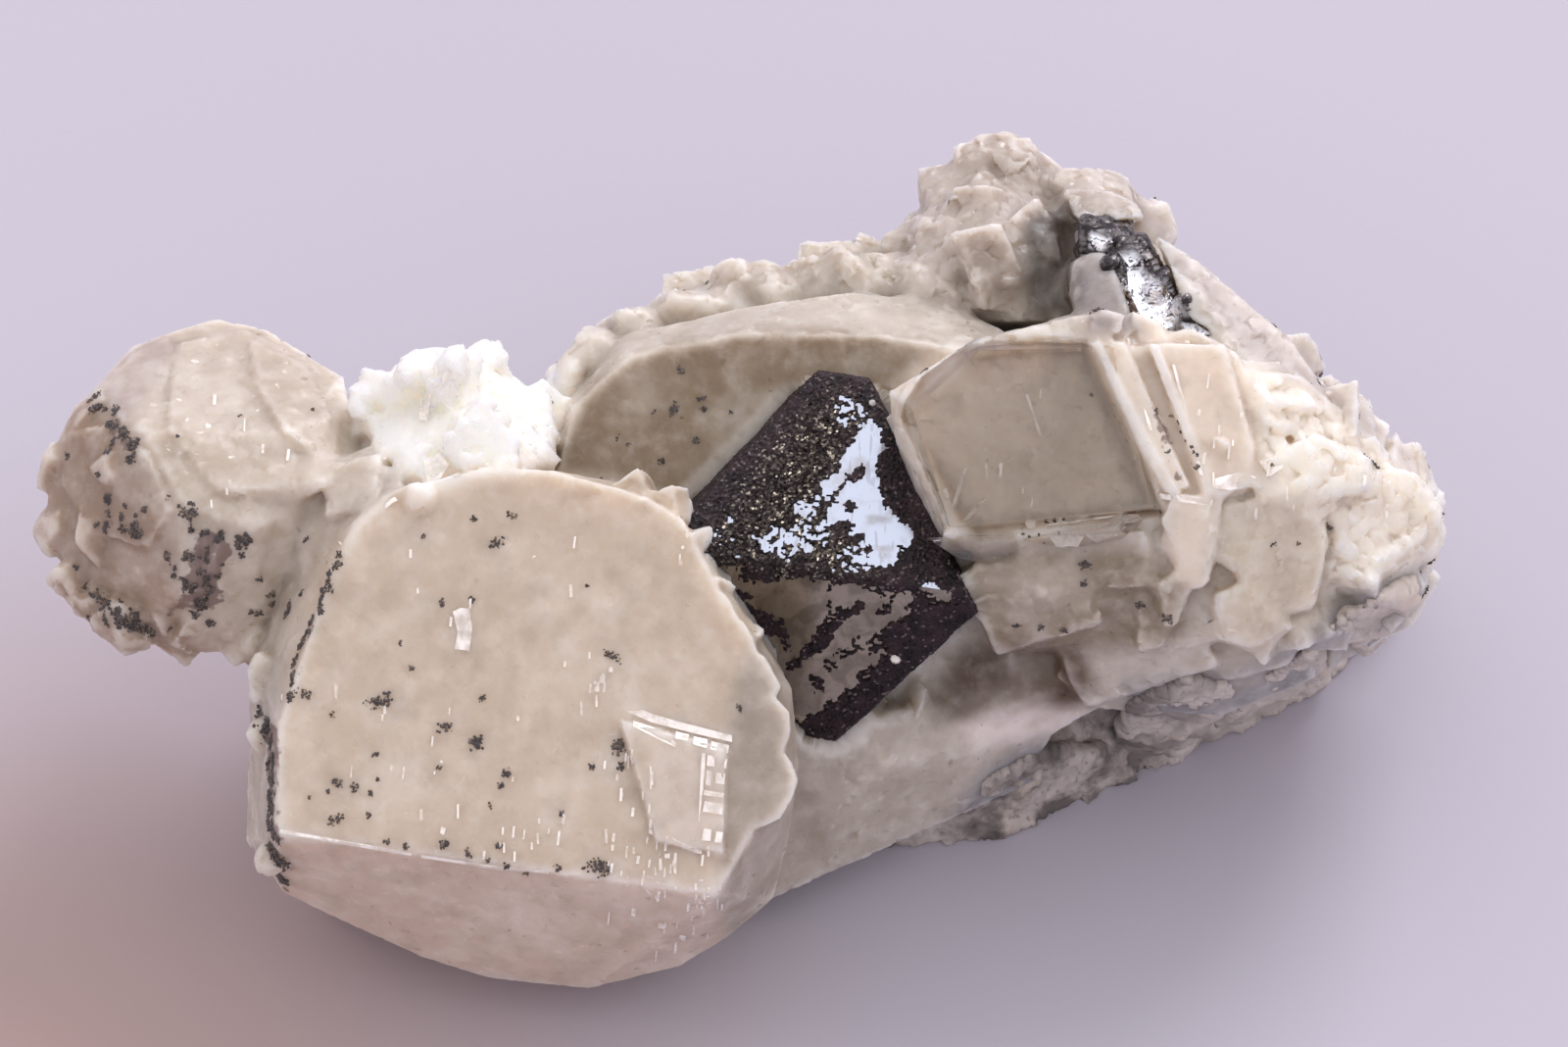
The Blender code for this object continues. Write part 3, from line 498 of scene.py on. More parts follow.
def chance(cells, seed):
    """Three repeatable numbers from 0 to 1 for every whole-numbered cell."""
    key = cells.astype(np.int64) @ np.array((73856093, 19349663, 83492791)) + seed * 6542989
    key = key.astype(np.uint64)
    rolls = []
    for salt in (1, 2, 3):
        roll = key * np.uint64(0x9E3779B97F4A7C15) + np.uint64(salt * 0x632BE59BD9B4E019 % 2**64)
        roll ^= roll >> np.uint64(29)
        roll *= np.uint64(0xBF58476D1CE4E5B9)
        roll ^= roll >> np.uint64(32)
        rolls.append((roll >> np.uint64(11)) / 2.0**53)
    return np.stack(rolls, 1)


def waves(points, size, seed):
    """Smooth hills from -1 to 1, about size apart, at points in millimetres."""
    spot = points / size
    corner = np.floor(spot)
    share = spot - corner
    share = share * share * (3 - 2 * share)
    height = np.zeros(len(points))
    for step in itertools.product((0, 1), repeat=3):
        weight = np.prod(np.where(step, share, 1 - share), axis=1)
        height += weight * (chance(corner + step, seed)[:, 0] * 2 - 1)
    return height


def facets(points, size, seed):
    """Broken-crystal relief at points in millimetres: each grain is a tilted plane of its own.
    Gives the relief from about -1 to 1, the middle of each point's grain, and how far its edge is."""
    spot = points / size
    corner = np.floor(spot)
    nearest = np.full(len(points), 9.0)
    second = nearest.copy()
    relief = np.zeros(len(points))
    middle = np.zeros_like(points)
    for step in itertools.product((-1, 0, 1), repeat=3):
        roll = chance(corner + step, seed)
        gap = spot - corner - step - roll
        distance = (gap * gap).sum(1)
        closer = distance < nearest
        second = np.where(closer, nearest, np.minimum(second, distance))
        tilt = (gap * (roll[:, [2, 0, 1]] * 2 - 1)).sum(1) + 0.5 * (roll[:, 1] - 0.5)
        relief[closer] = tilt[closer]
        middle[closer] = (spot - gap)[closer] * size
        nearest[closer] = distance[closer]
    return relief, middle, np.sqrt(second) - np.sqrt(nearest)


def inside(pixels, outline, edge):
    """1 within a drawn outline, 0 outside it, with a soft border."""
    corners = np.array(outline, float)
    nearest = np.full(len(pixels), np.inf)
    within = np.zeros(len(pixels), bool)
    for start, end in zip(corners, np.roll(corners, -1, axis=0)):
        side = end - start
        gap = pixels - start
        along = np.clip(gap @ side / (side @ side), 0, 1)
        nearest = np.minimum(nearest, np.hypot(*(gap - along[:, None] * side).T))
        crosses = (start[1] > pixels[:, 1]) != (end[1] > pixels[:, 1])
        if end[1] != start[1]:
            slope = side[0] / side[1]
            within ^= crosses & (gap[:, 0] < gap[:, 1] * slope)
    signed = np.where(within, nearest, -nearest)
    share = np.clip(signed / edge * 0.5 + 0.5, 0, 1)
    return share * share * (3 - 2 * share)


def within_any(pixels, outlines, edge):
    return np.max([inside(pixels, outline, edge) for outline in outlines], axis=0)


def facing(normals):
    """1 for normals that lean towards the eye, and down to a third for those that lean away."""
    return np.clip(normals @ np.array(TOWARDS_EYE) * 4 + 1.4, 0.3, 1)


def welded(node):
    """A copy of a node's mesh in which faces that meet share their corners."""
    solid = bmesh.new()
    solid.from_mesh(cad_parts[node].data)
    bmesh.ops.remove_doubles(solid, verts=solid.verts, dist=1e-7)
    mesh = bpy.data.meshes.new(node)
    solid.to_mesh(mesh)
    solid.free()
    return mesh


def new_piece(name, mesh):
    piece = bpy.data.objects.new(name, mesh)
    bpy.context.scene.collection.objects.link(piece)
    return piece


def built(name, solid):
    """A piece whose mesh is the one being edited, which is then let go."""
    mesh = bpy.data.meshes.new(name)
    solid.to_mesh(mesh)
    solid.free()
    return new_piece(name, mesh)


def tree_of(piece):
    return BVHTree.FromObject(piece, bpy.context.evaluated_depsgraph_get())


def settle(piece):
    """Works a piece's modifiers into its mesh."""
    graph = bpy.context.evaluated_depsgraph_get()
    mesh = bpy.data.meshes.new_from_object(piece.evaluated_get(graph))
    piece.modifiers.clear()
    piece.data = mesh
    return mesh


def remesh(piece, grain):
    cells = piece.modifiers.new("cells", "REMESH")
    cells.mode = "VOXEL"
    cells.voxel_size = grain
    return settle(piece)


def points_of(mesh):
    points = np.empty(len(mesh.vertices) * 3, np.float32)
    mesh.vertices.foreach_get("co", points)
    return points.reshape(-1, 3).astype(float)


def normals_of(mesh):
    normals = np.empty(len(mesh.vertices) * 3, np.float32)
    mesh.vertex_normals.foreach_get("vector", normals)
    return normals.reshape(-1, 3).astype(float)


def move_to(mesh, points):
    mesh.vertices.foreach_set("co", points.astype(np.float32).ravel())
    mesh.update()


def eased(mesh, points, rounds):
    """Points moved to the middle of their neighbours, over and over, which wears edges round."""
    ends = np.empty(len(mesh.edges) * 2, np.int32)
    mesh.edges.foreach_get("vertices", ends)
    ends = ends.reshape(-1, 2)
    count = np.bincount(ends.ravel(), minlength=len(points))[:, None]
    for _ in range(rounds):
        total = np.empty_like(points)
        for axis in range(3):
            total[:, axis] = np.bincount(ends[:, 0], points[ends[:, 1], axis], len(points))
            total[:, axis] += np.bincount(ends[:, 1], points[ends[:, 0], axis], len(points))
        points = total / count
    return points


def thinned(piece, faces, keep=None):
    """The piece's mesh with fewer faces where it is flat, and fewest where keep is near 1."""
    thin = piece.modifiers.new("thin", "DECIMATE")
    thin.ratio = faces / (2 * len(piece.data.polygons))
    thin.use_collapse_triangulate = True
    if keep is not None:
        group = piece.vertex_groups.new(name="keep")
        for share in np.unique(keep):
            group.add(np.nonzero(keep == share)[0].tolist(), float(share), "REPLACE")
        thin.vertex_group = "keep"
    settle(piece)
    piece.vertex_groups.clear()
    return piece.data


def store(mesh, name, values):
    """Keeps a number or a colour for each of the mesh's points."""
    if values.ndim == 1:
        mesh.attributes.new(name, "FLOAT", "POINT").data.foreach_set("value", values.astype(np.float32))
    else:
        colours = np.concatenate((values, np.ones((len(values), 1))), 1).astype(np.float32)
        mesh.attributes.new(name, "FLOAT_COLOR", "POINT").data.foreach_set("color", colours.ravel())


def zone_values(pixels, towards_eye, read):
    """What read gives for the zone that each point lies in, blended over the zones' borders."""
    values = np.tile(np.array(read(PLAIN), float), (len(pixels), 1))
    for zone in ZONES.values():
        share = (inside(pixels, zone["outline"], ZONE_EDGE) * towards_eye)[:, None]
        values = values * (1 - share) + np.array(read(zone), float) * share
    return values


def hull_into(solid, corners):
    """Adds the convex solid round some corners to a mesh, as a shell of its own."""
    shell = bmesh.new()
    for corner in corners:
        shell.verts.new(corner)
    spare = bmesh.ops.convex_hull(shell, input=shell.verts)["geom_interior"]
    spare = [part for part in spare if isinstance(part, bmesh.types.BMVert)]
    bmesh.ops.delete(shell, geom=spare, context="VERTS")
    bmesh.ops.recalc_face_normals(shell, faces=shell.faces)
    made = bpy.data.meshes.new("shell")
    shell.to_mesh(made)
    shell.free()
    solid.from_mesh(made)
    bpy.data.meshes.remove(made)


def slab_into(solid, near, depth):
    """Adds the hull of some points and of the same points pushed depth millimetres into the cluster."""
    hull_into(solid, near + [corner - depth * MM * TOWARDS_EYE for corner in near])


def tumbled(dice, size):
    """A random turn, and random sides that are each about size millimetres."""
    sides = Vector(dice.uniform((0.9, 0.8, 0.6), (1.2, 1.0, 0.9))) * size * MM
    return Euler(dice.uniform(0, math.tau, 3)).to_matrix(), Matrix.Diagonal(sides)


def worn_block(dice, centre, shape):
    """Points over a unit block with broken corners that the matrix shape stretches and turns."""
    breaks = dice.normal(size=(RHOMB_BREAKS, 3))
    breaks /= np.linalg.norm(breaks, axis=1)[:, None]
    flats = np.concatenate((np.eye(3), -np.eye(3), breaks))
    reach = np.concatenate((np.full(6, 0.5), dice.uniform(0.42, 0.68, RHOMB_BREAKS)))
    ways = dice.normal(size=(RHOMB_POINTS, 3))
    ways /= np.linalg.norm(ways, axis=1)[:, None]
    towards = ways @ flats.T
    far = np.where(towards > 0.02, reach / np.maximum(towards, 0.02), 9).min(1)
    return [centre + shape @ Vector(way) for way in ways * far[:, None]]


def seen(tree, across, down):
    """Where a pixel's ray first meets a surface, and that surface's normal."""
    place, normal, _, _ = tree.ray_cast(EYE, sight_ray(across, down))
    return place, normal


def grow_rhombs(solid, seed):
    """Grows cleavage rhombs half out of the mesh wherever the zones are rough."""
    mesh = bpy.data.meshes.new("ground")
    solid.to_mesh(mesh)
    mesh.calc_loop_triangles()
    points = points_of(mesh)
    corners = points[np.array([triangle.vertices for triangle in mesh.loop_triangles])]
    across, along = corners[:, 1] - corners[:, 0], corners[:, 2] - corners[:, 0]
    cross = np.cross(across, along)
    area = np.linalg.norm(cross, axis=1) / 2
    densest = max(zone["grains"][0] for zone in ZONES.values())
    dice = np.random.default_rng(seed)
    count = int(area.sum() / MM**2 * densest)
    pick = dice.choice(len(area), count, p=area / area.sum())
    first, second = dice.random((2, count, 1))
    folded = first + second > 1
    first, second = np.where(folded, 1 - first, first), np.where(folded, 1 - second, second)
    spots = corners[pick, 0] + first * across[pick] + second * along[pick]
    normals = cross[pick] / (2 * area[pick, None])
    wanted = zone_values(pixels_of(spots), facing(normals), lambda zone: zone["grains"])
    edge_on = (np.abs(normals @ np.array(TOWARDS_EYE)) < EDGE_ON) & (wanted[:, 0] < SPARSE)
    grows = (dice.random(count) * densest < wanted[:, 0]) & (spots[:, 2] > RHOMB_FOOT * MM) & ~edge_on
    chosen = np.nonzero(grows)[0]
    lie = chance(np.floor(spots / (DOMAIN * MM)), seed) * math.tau
    for k in chosen:
        size = dice.uniform(wanted[k, 1], wanted[k, 2]) * MM
        turn = Euler(lie[k] + dice.normal(0, DOMAIN_JITTER, 3)).to_matrix()
        sides = Vector(dice.uniform((0.9, 0.7, 0.4), (1.4, 1.1, 0.9))) * size
        centre = Vector(spots[k] - normals[k] * size * RHOMB_SINK)
        hull_into(solid, worn_block(dice, centre, turn @ CLEAVAGE @ Matrix.Diagonal(sides)))
    bpy.data.meshes.remove(mesh)


ground = bmesh.new()
ground.from_mesh(welded("calcite_cluster"))
grow_rhombs(ground, seed=6)
for corners, depth in SLABS.values():
    slab_into(ground, [spot(*corner) for corner in corners], depth)

dice = np.random.default_rng(10)
bare = tree_of(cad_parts["calcite_cluster"])
for outline, rise in FLAKES:
    slab_into(ground, [seen(bare, *corner)[0] + rise * MM * TOWARDS_EYE for corner in outline], FLAKE_DEPTH)
for across, down, size in FOOT_LUMPS:
    hit, _ = seen(bare, across, down)
    if hit:
        turn, sides = tumbled(dice, size)
        hull_into(ground, worn_block(dice, hit - FOOT_SINK * size * MM * TOWARDS_EYE, turn @ sides))
for across, down, toward, size in LUMPS:
    turn, sides = tumbled(dice, size)
    centre = spot(across, down, toward - LUMP_SINK * size)
    hull_into(ground, worn_block(dice, centre, turn @ CLEAVAGE @ sides))
for across, down, wide in BLOCK_EDGE:
    a = across + dice.uniform(-EDGE_SHAKE, EDGE_SHAKE) - 0.8 * wide
    d = down + dice.uniform(-EDGE_SHAKE, EDGE_SHAKE) + 0.45 * wide
    far = wide * dice.uniform(0.9, 1.1, EDGE_ROUND)
    turns = np.arange(EDGE_ROUND) * math.tau / EDGE_ROUND
    drop = dice.uniform(0.0, 0.06)
    near = []
    for x, y in zip(a + far * np.cos(turns), d + far * np.sin(turns)):
        right, up = (x - MIDDLE_PIXEL[0]) / PIXELS_PER_MM, (MIDDLE_PIXEL[1] - y) / PIXELS_PER_MM
        near.append(spot(x, y, BLOCK_PLANE @ (right, up, 1) - drop))
    slab_into(ground, near, SHELL_DEPTH)
calcite = built("calcite_crystals", ground)
mesh = remesh(calcite, CALCITE_GRAIN)
points, normals = points_of(mesh), normals_of(mesh)
relief = zone_values(pixels_of(points), facing(normals), lambda zone: (zone["relief"],))[:, 0]
millimetres = points / MM
rough, _, edge = facets(millimetres, ROUGH_GRAIN, 11)
fine, _, _ = facets(millimetres, FINE_GRAIN, 12)
rise = 0.02 * waves(millimetres, 2.2, 1)
rise += relief * (1.5 * rough + 0.7 * fine - 0.5 * np.exp(-edge / 0.1))
worn = eased(mesh, points, WORN_ROUNDS)
chipped = np.clip(waves(millimetres, CHIPPED_PATCH, 4) * 1.2 + 0.5, 0, 1)[:, None]
points = points * (1 - chipped) + worn * chipped
soft = within_any(pixels_of(points), SOFT_SIDES, SOFT_EDGE)[:, None] * SOFT_SHARE
points = points * (1 - soft) + eased(mesh, worn, SOFT_ROUNDS) * soft + normals * rise[:, None] * MM
octahedron = tree_of(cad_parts["carrollite_crystal"])
low, high = (np.array(corner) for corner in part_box("carrollite_crystal"))
near = ((points > low - CLOSE_UP * MM) & (points < high + CLOSE_UP * MM)).all(1)
for k in np.nonzero(near)[0]:
    meets, _, _, _ = octahedron.find_nearest(points[k], CLOSE_UP * MM)
    if meets:
        points[k] = meets
pixels = pixels_of(points)
toward = (points - np.array(MIDDLE)) @ np.array(TOWARDS_EYE) / MM
under = inside(pixels, GLASS_OUTLINE, GLASS_EDGE) * np.clip(toward - GLASS_FOOT, 0, 1)
points -= under[:, None] * GLASS_DEPTH * MM * np.array(TOWARDS_EYE)
points[:, 2] = np.maximum(points[:, 2], 0)
move_to(mesh, points)
store(mesh, "tint_and_shade", zone_values(pixels, np.ones(len(points)), lambda zone: tone(*zone["tint_and_shade"])))
store(mesh, "sugar", inside(pixels, ZONES["sugary_lump"]["outline"], SUGAR_EDGE))
# the ridge field carries the painted highlight on ridges and the painted shade in hollows
proud = ((points - eased(mesh, points, RIDGE_ROUNDS)) * normals).sum(1)
store(mesh, "ridge", np.clip(proud / RIDGE_REACH, -1, 1))
leaning = normals @ np.array(TOWARDS_EYE)
store(mesh, "stained", within_any(pixels, STAINS, STAIN_EDGE) * (leaning > 0))
mesh = thinned(calcite, CALCITE_FACES, np.where(leaning > -0.1, FRONT_KEEP, 1.0))
mesh.shade_smooth()
mesh.set_sharp_from_angle(angle=SHARP_ANGLE)

calcite_stone, shade, shader = material(
    "waxy_calcite", Subsurface_Weight=1.0, Subsurface_Radius=(1.0, 0.86, 0.7), Subsurface_Scale=1.5 * MM,
    Transmission_Weight=0.15, IOR=1.6, Specular_IOR_Level=0.4)
# the zone colours carry painted shade where a zone lies in shade
zone_tint_and_shade = shade.node("Attribute", {"attribute_name": "tint_and_shade"}, {}, out="Color")
ridge = shade.field("ridge")
milky = shade.noise(2.4 * MM, 4).between(0.42, 0.66)
cloudy = shade.noise(0.9 * MM, 3).between(0.4, 0.7)
body = shade.mix(milky * 0.22, zone_tint_and_shade, tone(250, 243, 234))
body = shade.mix(cloudy * 0.14, body, tone(170, 152, 132))
# painted highlight on ridges, painted shade in hollows
body = shade.mix(ridge.between(0.05, 0.9) * 0.3, body, tone(255, 252, 247))
body = shade.mix((0 - ridge).between(0.05, 0.9) * 0.35, body, tone(158, 138, 112))
frost = shade.noise(0.8 * MM, 5, None, Roughness=0.6).between(0.42, 0.75)
body = shade.mix(frost * 0.18, body, tone(255, 252, 247))
smoke = shade.noise(1.8 * MM, 5, None, Roughness=0.5).between(0.48, 0.7)
body = shade.mix(smoke * 0.2, body, tone(160, 146, 128))
body = shade.mix(shade.field("sugar") * 0.85, body, tone(255, 249, 239))
spread = shade.noise(0.45 * MM, 5)
rusty = (shade.field("stained") * 0.5 + spread * 0.5).between(0.62, 0.68)
body = shade.mix(rusty * 0.75, body, tone(112, 84, 78))
place = shade.place()
bend = shade.node("TexNoise", {}, {"Vector": place, "Scale": 1 / (0.9 * MM), "Detail": 2.0}, out="Color")
bent = place.vector("ADD", bend.vector("SCALE", Scale=0.5 * MM))
cells = shade.node("TexVoronoi", {}, {"Vector": bent, "Scale": 1 / (0.55 * MM)}, out="Color")
dots = shade.node("TexVoronoi", {}, {"Vector": bent, "Scale": 1 / (0.17 * MM)}, out="Color")
sparkle = shade.node("SeparateColor", {}, {0: dots}, out=0).between(0.965, 0.98)
lean = cells.swing(0.16).vector("ADD", dots.swing(sparkle * 0.7))
tilted = shade.upright().vector("ADD", lean).vector("NORMALIZE")
pits = shade.noise(0.14 * MM, 3) + shade.noise(0.5 * MM, 3) * 1.5
feed(shade, shader, Base_Color=body, Roughness=0.26 + 0.3 * shade.noise(0.8 * MM, 4) - 0.24 * sparkle,
     Normal=pits.bump(0.45, 0.016 * MM, Normal=tilted))
mesh.materials.clear()
mesh.materials.append(calcite_stone)
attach(calcite, "root")
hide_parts("calcite_cluster")

# The glassy crystal
# The clear crystal beside the octahedron, a glassy cleavage rhomb that lies on the milky calcite. Light
# goes through it, a little is taken up on the way, and white veils hang inside.

# Millimetres across and up the view from the cluster's middle, and then towards the eye.
GLASS_FACE = [(5.0, 4.7), (7.1, 6.6), (11.2, 6.7), (12.2, 3.1), (12.6, 1.6), (6.2, 1.0)]
GLASS_PLANE = (5.24, 0.03, -0.06)  # mm towards the eye at the middle, and its slopes across and up
GLASS_THICK, WEDGE_THICK, VEIL_THICK = 2.4, 0.8, 0.03  # mm
GLASS_FLANKS = [(4.5, 5.2, 3.8), (4.6, 4.0, 3.4), (5.9, 0.8, 3.4), (7.0, 7.0, 4.2), (11.3, 7.3, 3.6),
                (12.0, 6.8, 4.4), (13.2, 1.7, 4.6)]
CLEAR_WEDGES = [
    [(946, 549, 4.6), (990, 545, 5.3), (1034, 543, 5.4), (1038, 564, 5.2), (1012, 576, 5.0),
     (978, 570, 4.7)],
    [(1043, 551, 5.3), (1100, 538, 5.5), (1162, 525, 5.6), (1166, 532, 5.5), (1144, 550, 5.3),
     (1091, 560, 5.2)],
]
GLASS_VEILS = [
    # thin cracks inside, in pixels across and down and millimetres towards the eye
    [(962, 500, 4.9), (966, 498, 4.8), (978, 530, 4.5), (974, 533, 4.7)],
    [(984, 478, 4.8), (987, 478, 4.7), (974, 522, 4.6), (970, 520, 4.8)],
    [(1004, 508, 4.8), (1008, 508, 4.6), (984, 536, 4.5), (980, 534, 4.7)],
    [(1046, 402, 4.7), (1049, 402, 4.7), (1064, 446, 4.5), (1061, 446, 4.6)],
]


def sight_point(across, up, toward):
    """A point in millimetres across and up the view and towards the eye, from the cluster's middle."""
    return MIDDLE + (across * Vector((1, 0, 0)) + up * UP_VIEW + toward * TOWARDS_EYE) * MM


near = [sight_point(u, v, GLASS_PLANE[0] + GLASS_PLANE[1] * u + GLASS_PLANE[2] * v) for u, v in GLASS_FACE]
near += [sight_point(*corner) for corner in GLASS_FLANKS]
glass = bmesh.new()
slab_into(glass, near, GLASS_THICK)
for wedge in CLEAR_WEDGES:
    slab_into(glass, [spot(*corner) for corner in wedge], WEDGE_THICK)
bmesh.ops.bevel(glass, geom=glass.edges, offset=0.05 * MM, segments=2, affect="EDGES", profile=0.6)
glass_piece = built("glassy_crystal", glass)
glass_stone, shade, shader = material("glassy_calcite", IOR=1.62, Transmission_Weight=1.0, Roughness=0.04)
scratch = shade.noise(1.1 * MM, 5)
feed(shade, shader, Base_Color=shade.mix(scratch, tone(252, 249, 244), tone(240, 234, 226)),
     Roughness=0.02 + 0.16 * shade.noise(0.9 * MM, 4).between(0.35, 0.75),
     Normal=scratch.bump(0.35, 0.012 * MM))
haze = glass_stone.node_tree.nodes.new("ShaderNodeVolumeAbsorption")
haze.inputs["Color"].default_value = (*tone(226, 214, 192), 1)
haze.inputs["Density"].default_value = 40
glass_stone.node_tree.links.new(haze.outputs["Volume"],
                                glass_stone.node_tree.nodes["Material Output"].inputs["Volume"])
glass_piece.data.materials.append(glass_stone)
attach(glass_piece, "root")

# The split calcite and its painted highlights
# Slivers of calcite that split along its cleavage and let light in behind them, so that they show
# white on the faces they lie on: round the block's window and along the slices. The same white
# patches are also painted highlights on the glassy crystal's ledge and top and on the sugary lump's
# brightest facets, and painted sparkle on the block.

CHIP_PROUD = 0.04 * MM
CHIP_DEPTH = 0.2 * MM
CHIP_DROP = 1.2 * MM  # a chip that would bridge a deeper drop than this is left out
CHIPS_AND_HIGHLIGHTS = [
    [(462, 624), (470, 620), (479, 621), (482, 641), (479, 664), (464, 662), (467, 645)],
    [(640, 726), (655, 724), (668, 729), (700, 738), (747, 750), (747, 757), (712, 749), (700, 746),
     (665, 737)],
    [(690, 746), (703, 749), (702, 756), (689, 753)],
    [(708, 751), (722, 754), (721, 763), (707, 759)],
    [(726, 756), (744, 760), (743, 768), (725, 764)],
    [(716, 768), (720, 768), (716, 871), (711, 870), (713, 830)],
    [(722, 770), (742, 774), (741, 784), (721, 781)],
    [(721, 786), (726, 787), (725, 802), (720, 800)],
    [(731, 788), (740, 789), (739, 800), (730, 799)],
    [(719, 806), (739, 809), (738, 814), (718, 811)],
    [(719, 817), (738, 820), (737, 831), (717, 828)],
    [(718, 845), (726, 846), (725, 858), (716, 857)],
    [(731, 848), (738, 849), (736, 860), (729, 859)],
    [(662, 845), (690, 856), (713, 866), (713, 871), (688, 862), (662, 850)],
    [(663, 782), (665, 782), (665, 845), (662, 845)],
    [(646, 735), (668, 742), (690, 758), (689, 762), (664, 750), (646, 741)],
    [(743, 762), (746, 762), (736, 940), (733, 940)],
    [(660, 893), (667, 895), (665, 914), (659, 908)],
    [(669, 899), (673, 900), (671, 918), (668, 916)],
    [(714, 897), (718, 897), (716, 922), (712, 918)],
    [(722, 900), (727, 902), (722, 936), (718, 930)],
    [(702, 905), (705, 906), (704, 926), (701, 924)],
    [(688, 870), (691, 870), (690, 892), (687, 890)],
    [(645, 926), (650, 928), (648, 935), (644, 934)],
    [(672, 941), (679, 943), (678, 948), (671, 946)],
    [(694, 953), (700, 955), (699, 960), (693, 958)],
    # painted sparkle on the block's face
    [(612, 690), (618, 689), (617, 697), (611, 697)],
    [(622, 680), (626, 681), (625, 686), (621, 685)],
    [(607, 700), (611, 701), (610, 706), (606, 705)],
    [(450, 843), (455, 844), (453, 852), (449, 850)],
    [(574, 830), (577, 831), (576, 841), (573, 840)],
    [(625, 850), (628, 850), (627, 859), (624, 858)],
    [(341, 697), (345, 699), (344, 714), (341, 711)],
    [(286, 846), (400, 866), (420, 870), (420, 873), (400, 870), (286, 850)],
    [(430, 872), (512, 884), (560, 888), (560, 891), (512, 888), (430, 875)],
    [(345, 553), (400, 508), (470, 481), (470, 484), (402, 512), (348, 556)],
    # the next five are painted highlights on the glassy crystal's ledge and top
    [(1046, 533), (1090, 529), (1135, 526), (1163, 524), (1160, 529), (1110, 534), (1048, 539)],
    [(1113, 536), (1130, 532), (1149, 534), (1140, 545), (1118, 552), (1108, 545)],
    [(1070, 546), (1090, 543), (1106, 546), (1100, 556), (1078, 556)],
    [(1066, 347), (1088, 344), (1106, 348), (1104, 359), (1082, 358), (1070, 355)],
    [(928, 378), (945, 374), (955, 379), (950, 391), (932, 388)],
    [(918, 440), (922, 440), (975, 510), (995, 545), (990, 545), (968, 512)],
    [(1183, 503), (1200, 505), (1238, 510), (1236, 516), (1205, 512), (1184, 509)],
    [(1150, 345), (1153, 345), (1176, 440), (1172, 438)],
    [(1131, 352), (1135, 352), (1160, 470), (1156, 468)],
    [(1196, 372), (1199, 372), (1228, 485), (1224, 484)],
    [(1240, 488), (1262, 482), (1282, 486), (1276, 496), (1255, 500), (1240, 498)],
    [(1284, 470), (1300, 466), (1310, 476), (1296, 486)],
    # the last four are painted highlights on the sugary lump's brightest facets
    [(443, 372), (462, 370), (470, 392), (458, 410), (446, 402)],
    [(520, 440), (552, 424), (560, 430), (545, 444), (522, 452)],
    [(428, 405), (440, 402), (436, 430), (428, 428)],
    [(432, 470), (448, 462), (458, 474), (446, 494), (436, 490)],
]

# The slivers are white hairline streaks, partly cracks and partly painted sparkle.
SLIVER_FIELDS = [
    # a middle in pixels, how far round it slivers are scattered across and down, and how many
    ((668, 880), (50, 40), 34), ((712, 930), (22, 26), 22), ((610, 700), (14, 22), 8),
    ((540, 850), (50, 16), 12), ((420, 800), (80, 50), 10), ((500, 650), (120, 90), 12),
    ((1060, 470), (50, 50), 6), ((650, 800), (24, 40), 12), ((700, 560), (12, 30), 4),
    ((1250, 440), (24, 50), 10), ((1330, 490), (60, 30), 8), ((240, 450), (60, 50), 6),
]
SLIVER_WIDE, SLIVER_TALL = (0.7, 1.6), (3, 15)  # pixels
METAL_GRAINS = [(914, 671, 0.2), (890, 412, 0.14)]  # pixels, and the reach in millimetres

sprinkle = random.Random(8)
slivers = []
for (across, down), (wide, high), number in SLIVER_FIELDS:
    for _ in range(number):
        a, d = across + sprinkle.gauss(0, wide * 0.6), down + sprinkle.gauss(0, high * 0.6)
        half, tall = sprinkle.uniform(*SLIVER_WIDE), sprinkle.uniform(*SLIVER_TALL)
        foot = a + sprinkle.uniform(-0.15, 0.05) * tall
        slivers.append([(a - half, d), (a + half, d), (foot + half, d + tall), (foot - half, d + tall)])
surface = tree_of(calcite)
chips_and_highlights = bmesh.new()
for outline in CHIPS_AND_HIGHLIGHTS + slivers:
    hits = [seen(surface, *corner)[0] for corner in outline]
    if None in hits:
        continue
    levels = [hit.dot(TOWARDS_EYE) for hit in hits]
    if max(levels) - min(levels) > CHIP_DROP:
        continue
    over = [chips_and_highlights.verts.new(hit + CHIP_PROUD * TOWARDS_EYE) for hit in hits]
    under = [chips_and_highlights.verts.new(hit - CHIP_DEPTH * TOWARDS_EYE) for hit in hits]
    chips_and_highlights.faces.new(over)
    chips_and_highlights.faces.new(under[::-1])
    for k in range(len(hits)):
        chips_and_highlights.faces.new((over[k - 1], over[k], under[k], under[k - 1]))
for across, down, reach in METAL_GRAINS:
    hit, _ = seen(octahedron, across, down)
    if hit:
        hull_into(chips_and_highlights, [hit + Vector(way).normalized() * reach * MM
                          for way in itertools.product((-1, 0, 1), repeat=3) if any(way)])
for veil in GLASS_VEILS:
    slab_into(chips_and_highlights, [spot(*corner) for corner in veil], VEIL_THICK)
bmesh.ops.recalc_face_normals(chips_and_highlights, faces=chips_and_highlights.faces)
chip_and_highlight_piece = built("calcite_chips_and_highlights", chips_and_highlights)
chip_and_highlight_stone, shade, shader = material("split_calcite_and_highlights", IOR=1.6, Coat_Weight=0.5)
patchy = shade.noise(0.7 * MM, 3)
feed(shade, shader, Base_Color=shade.mix(patchy, tone(255, 253, 250), tone(244, 236, 226)),
     Roughness=0.15 + 0.3 * patchy, Alpha=0.35 + 0.6 * patchy.between(0.35, 0.6))
chip_and_highlight_piece.data.materials.append(chip_and_highlight_stone)
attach(chip_and_highlight_piece, "root")

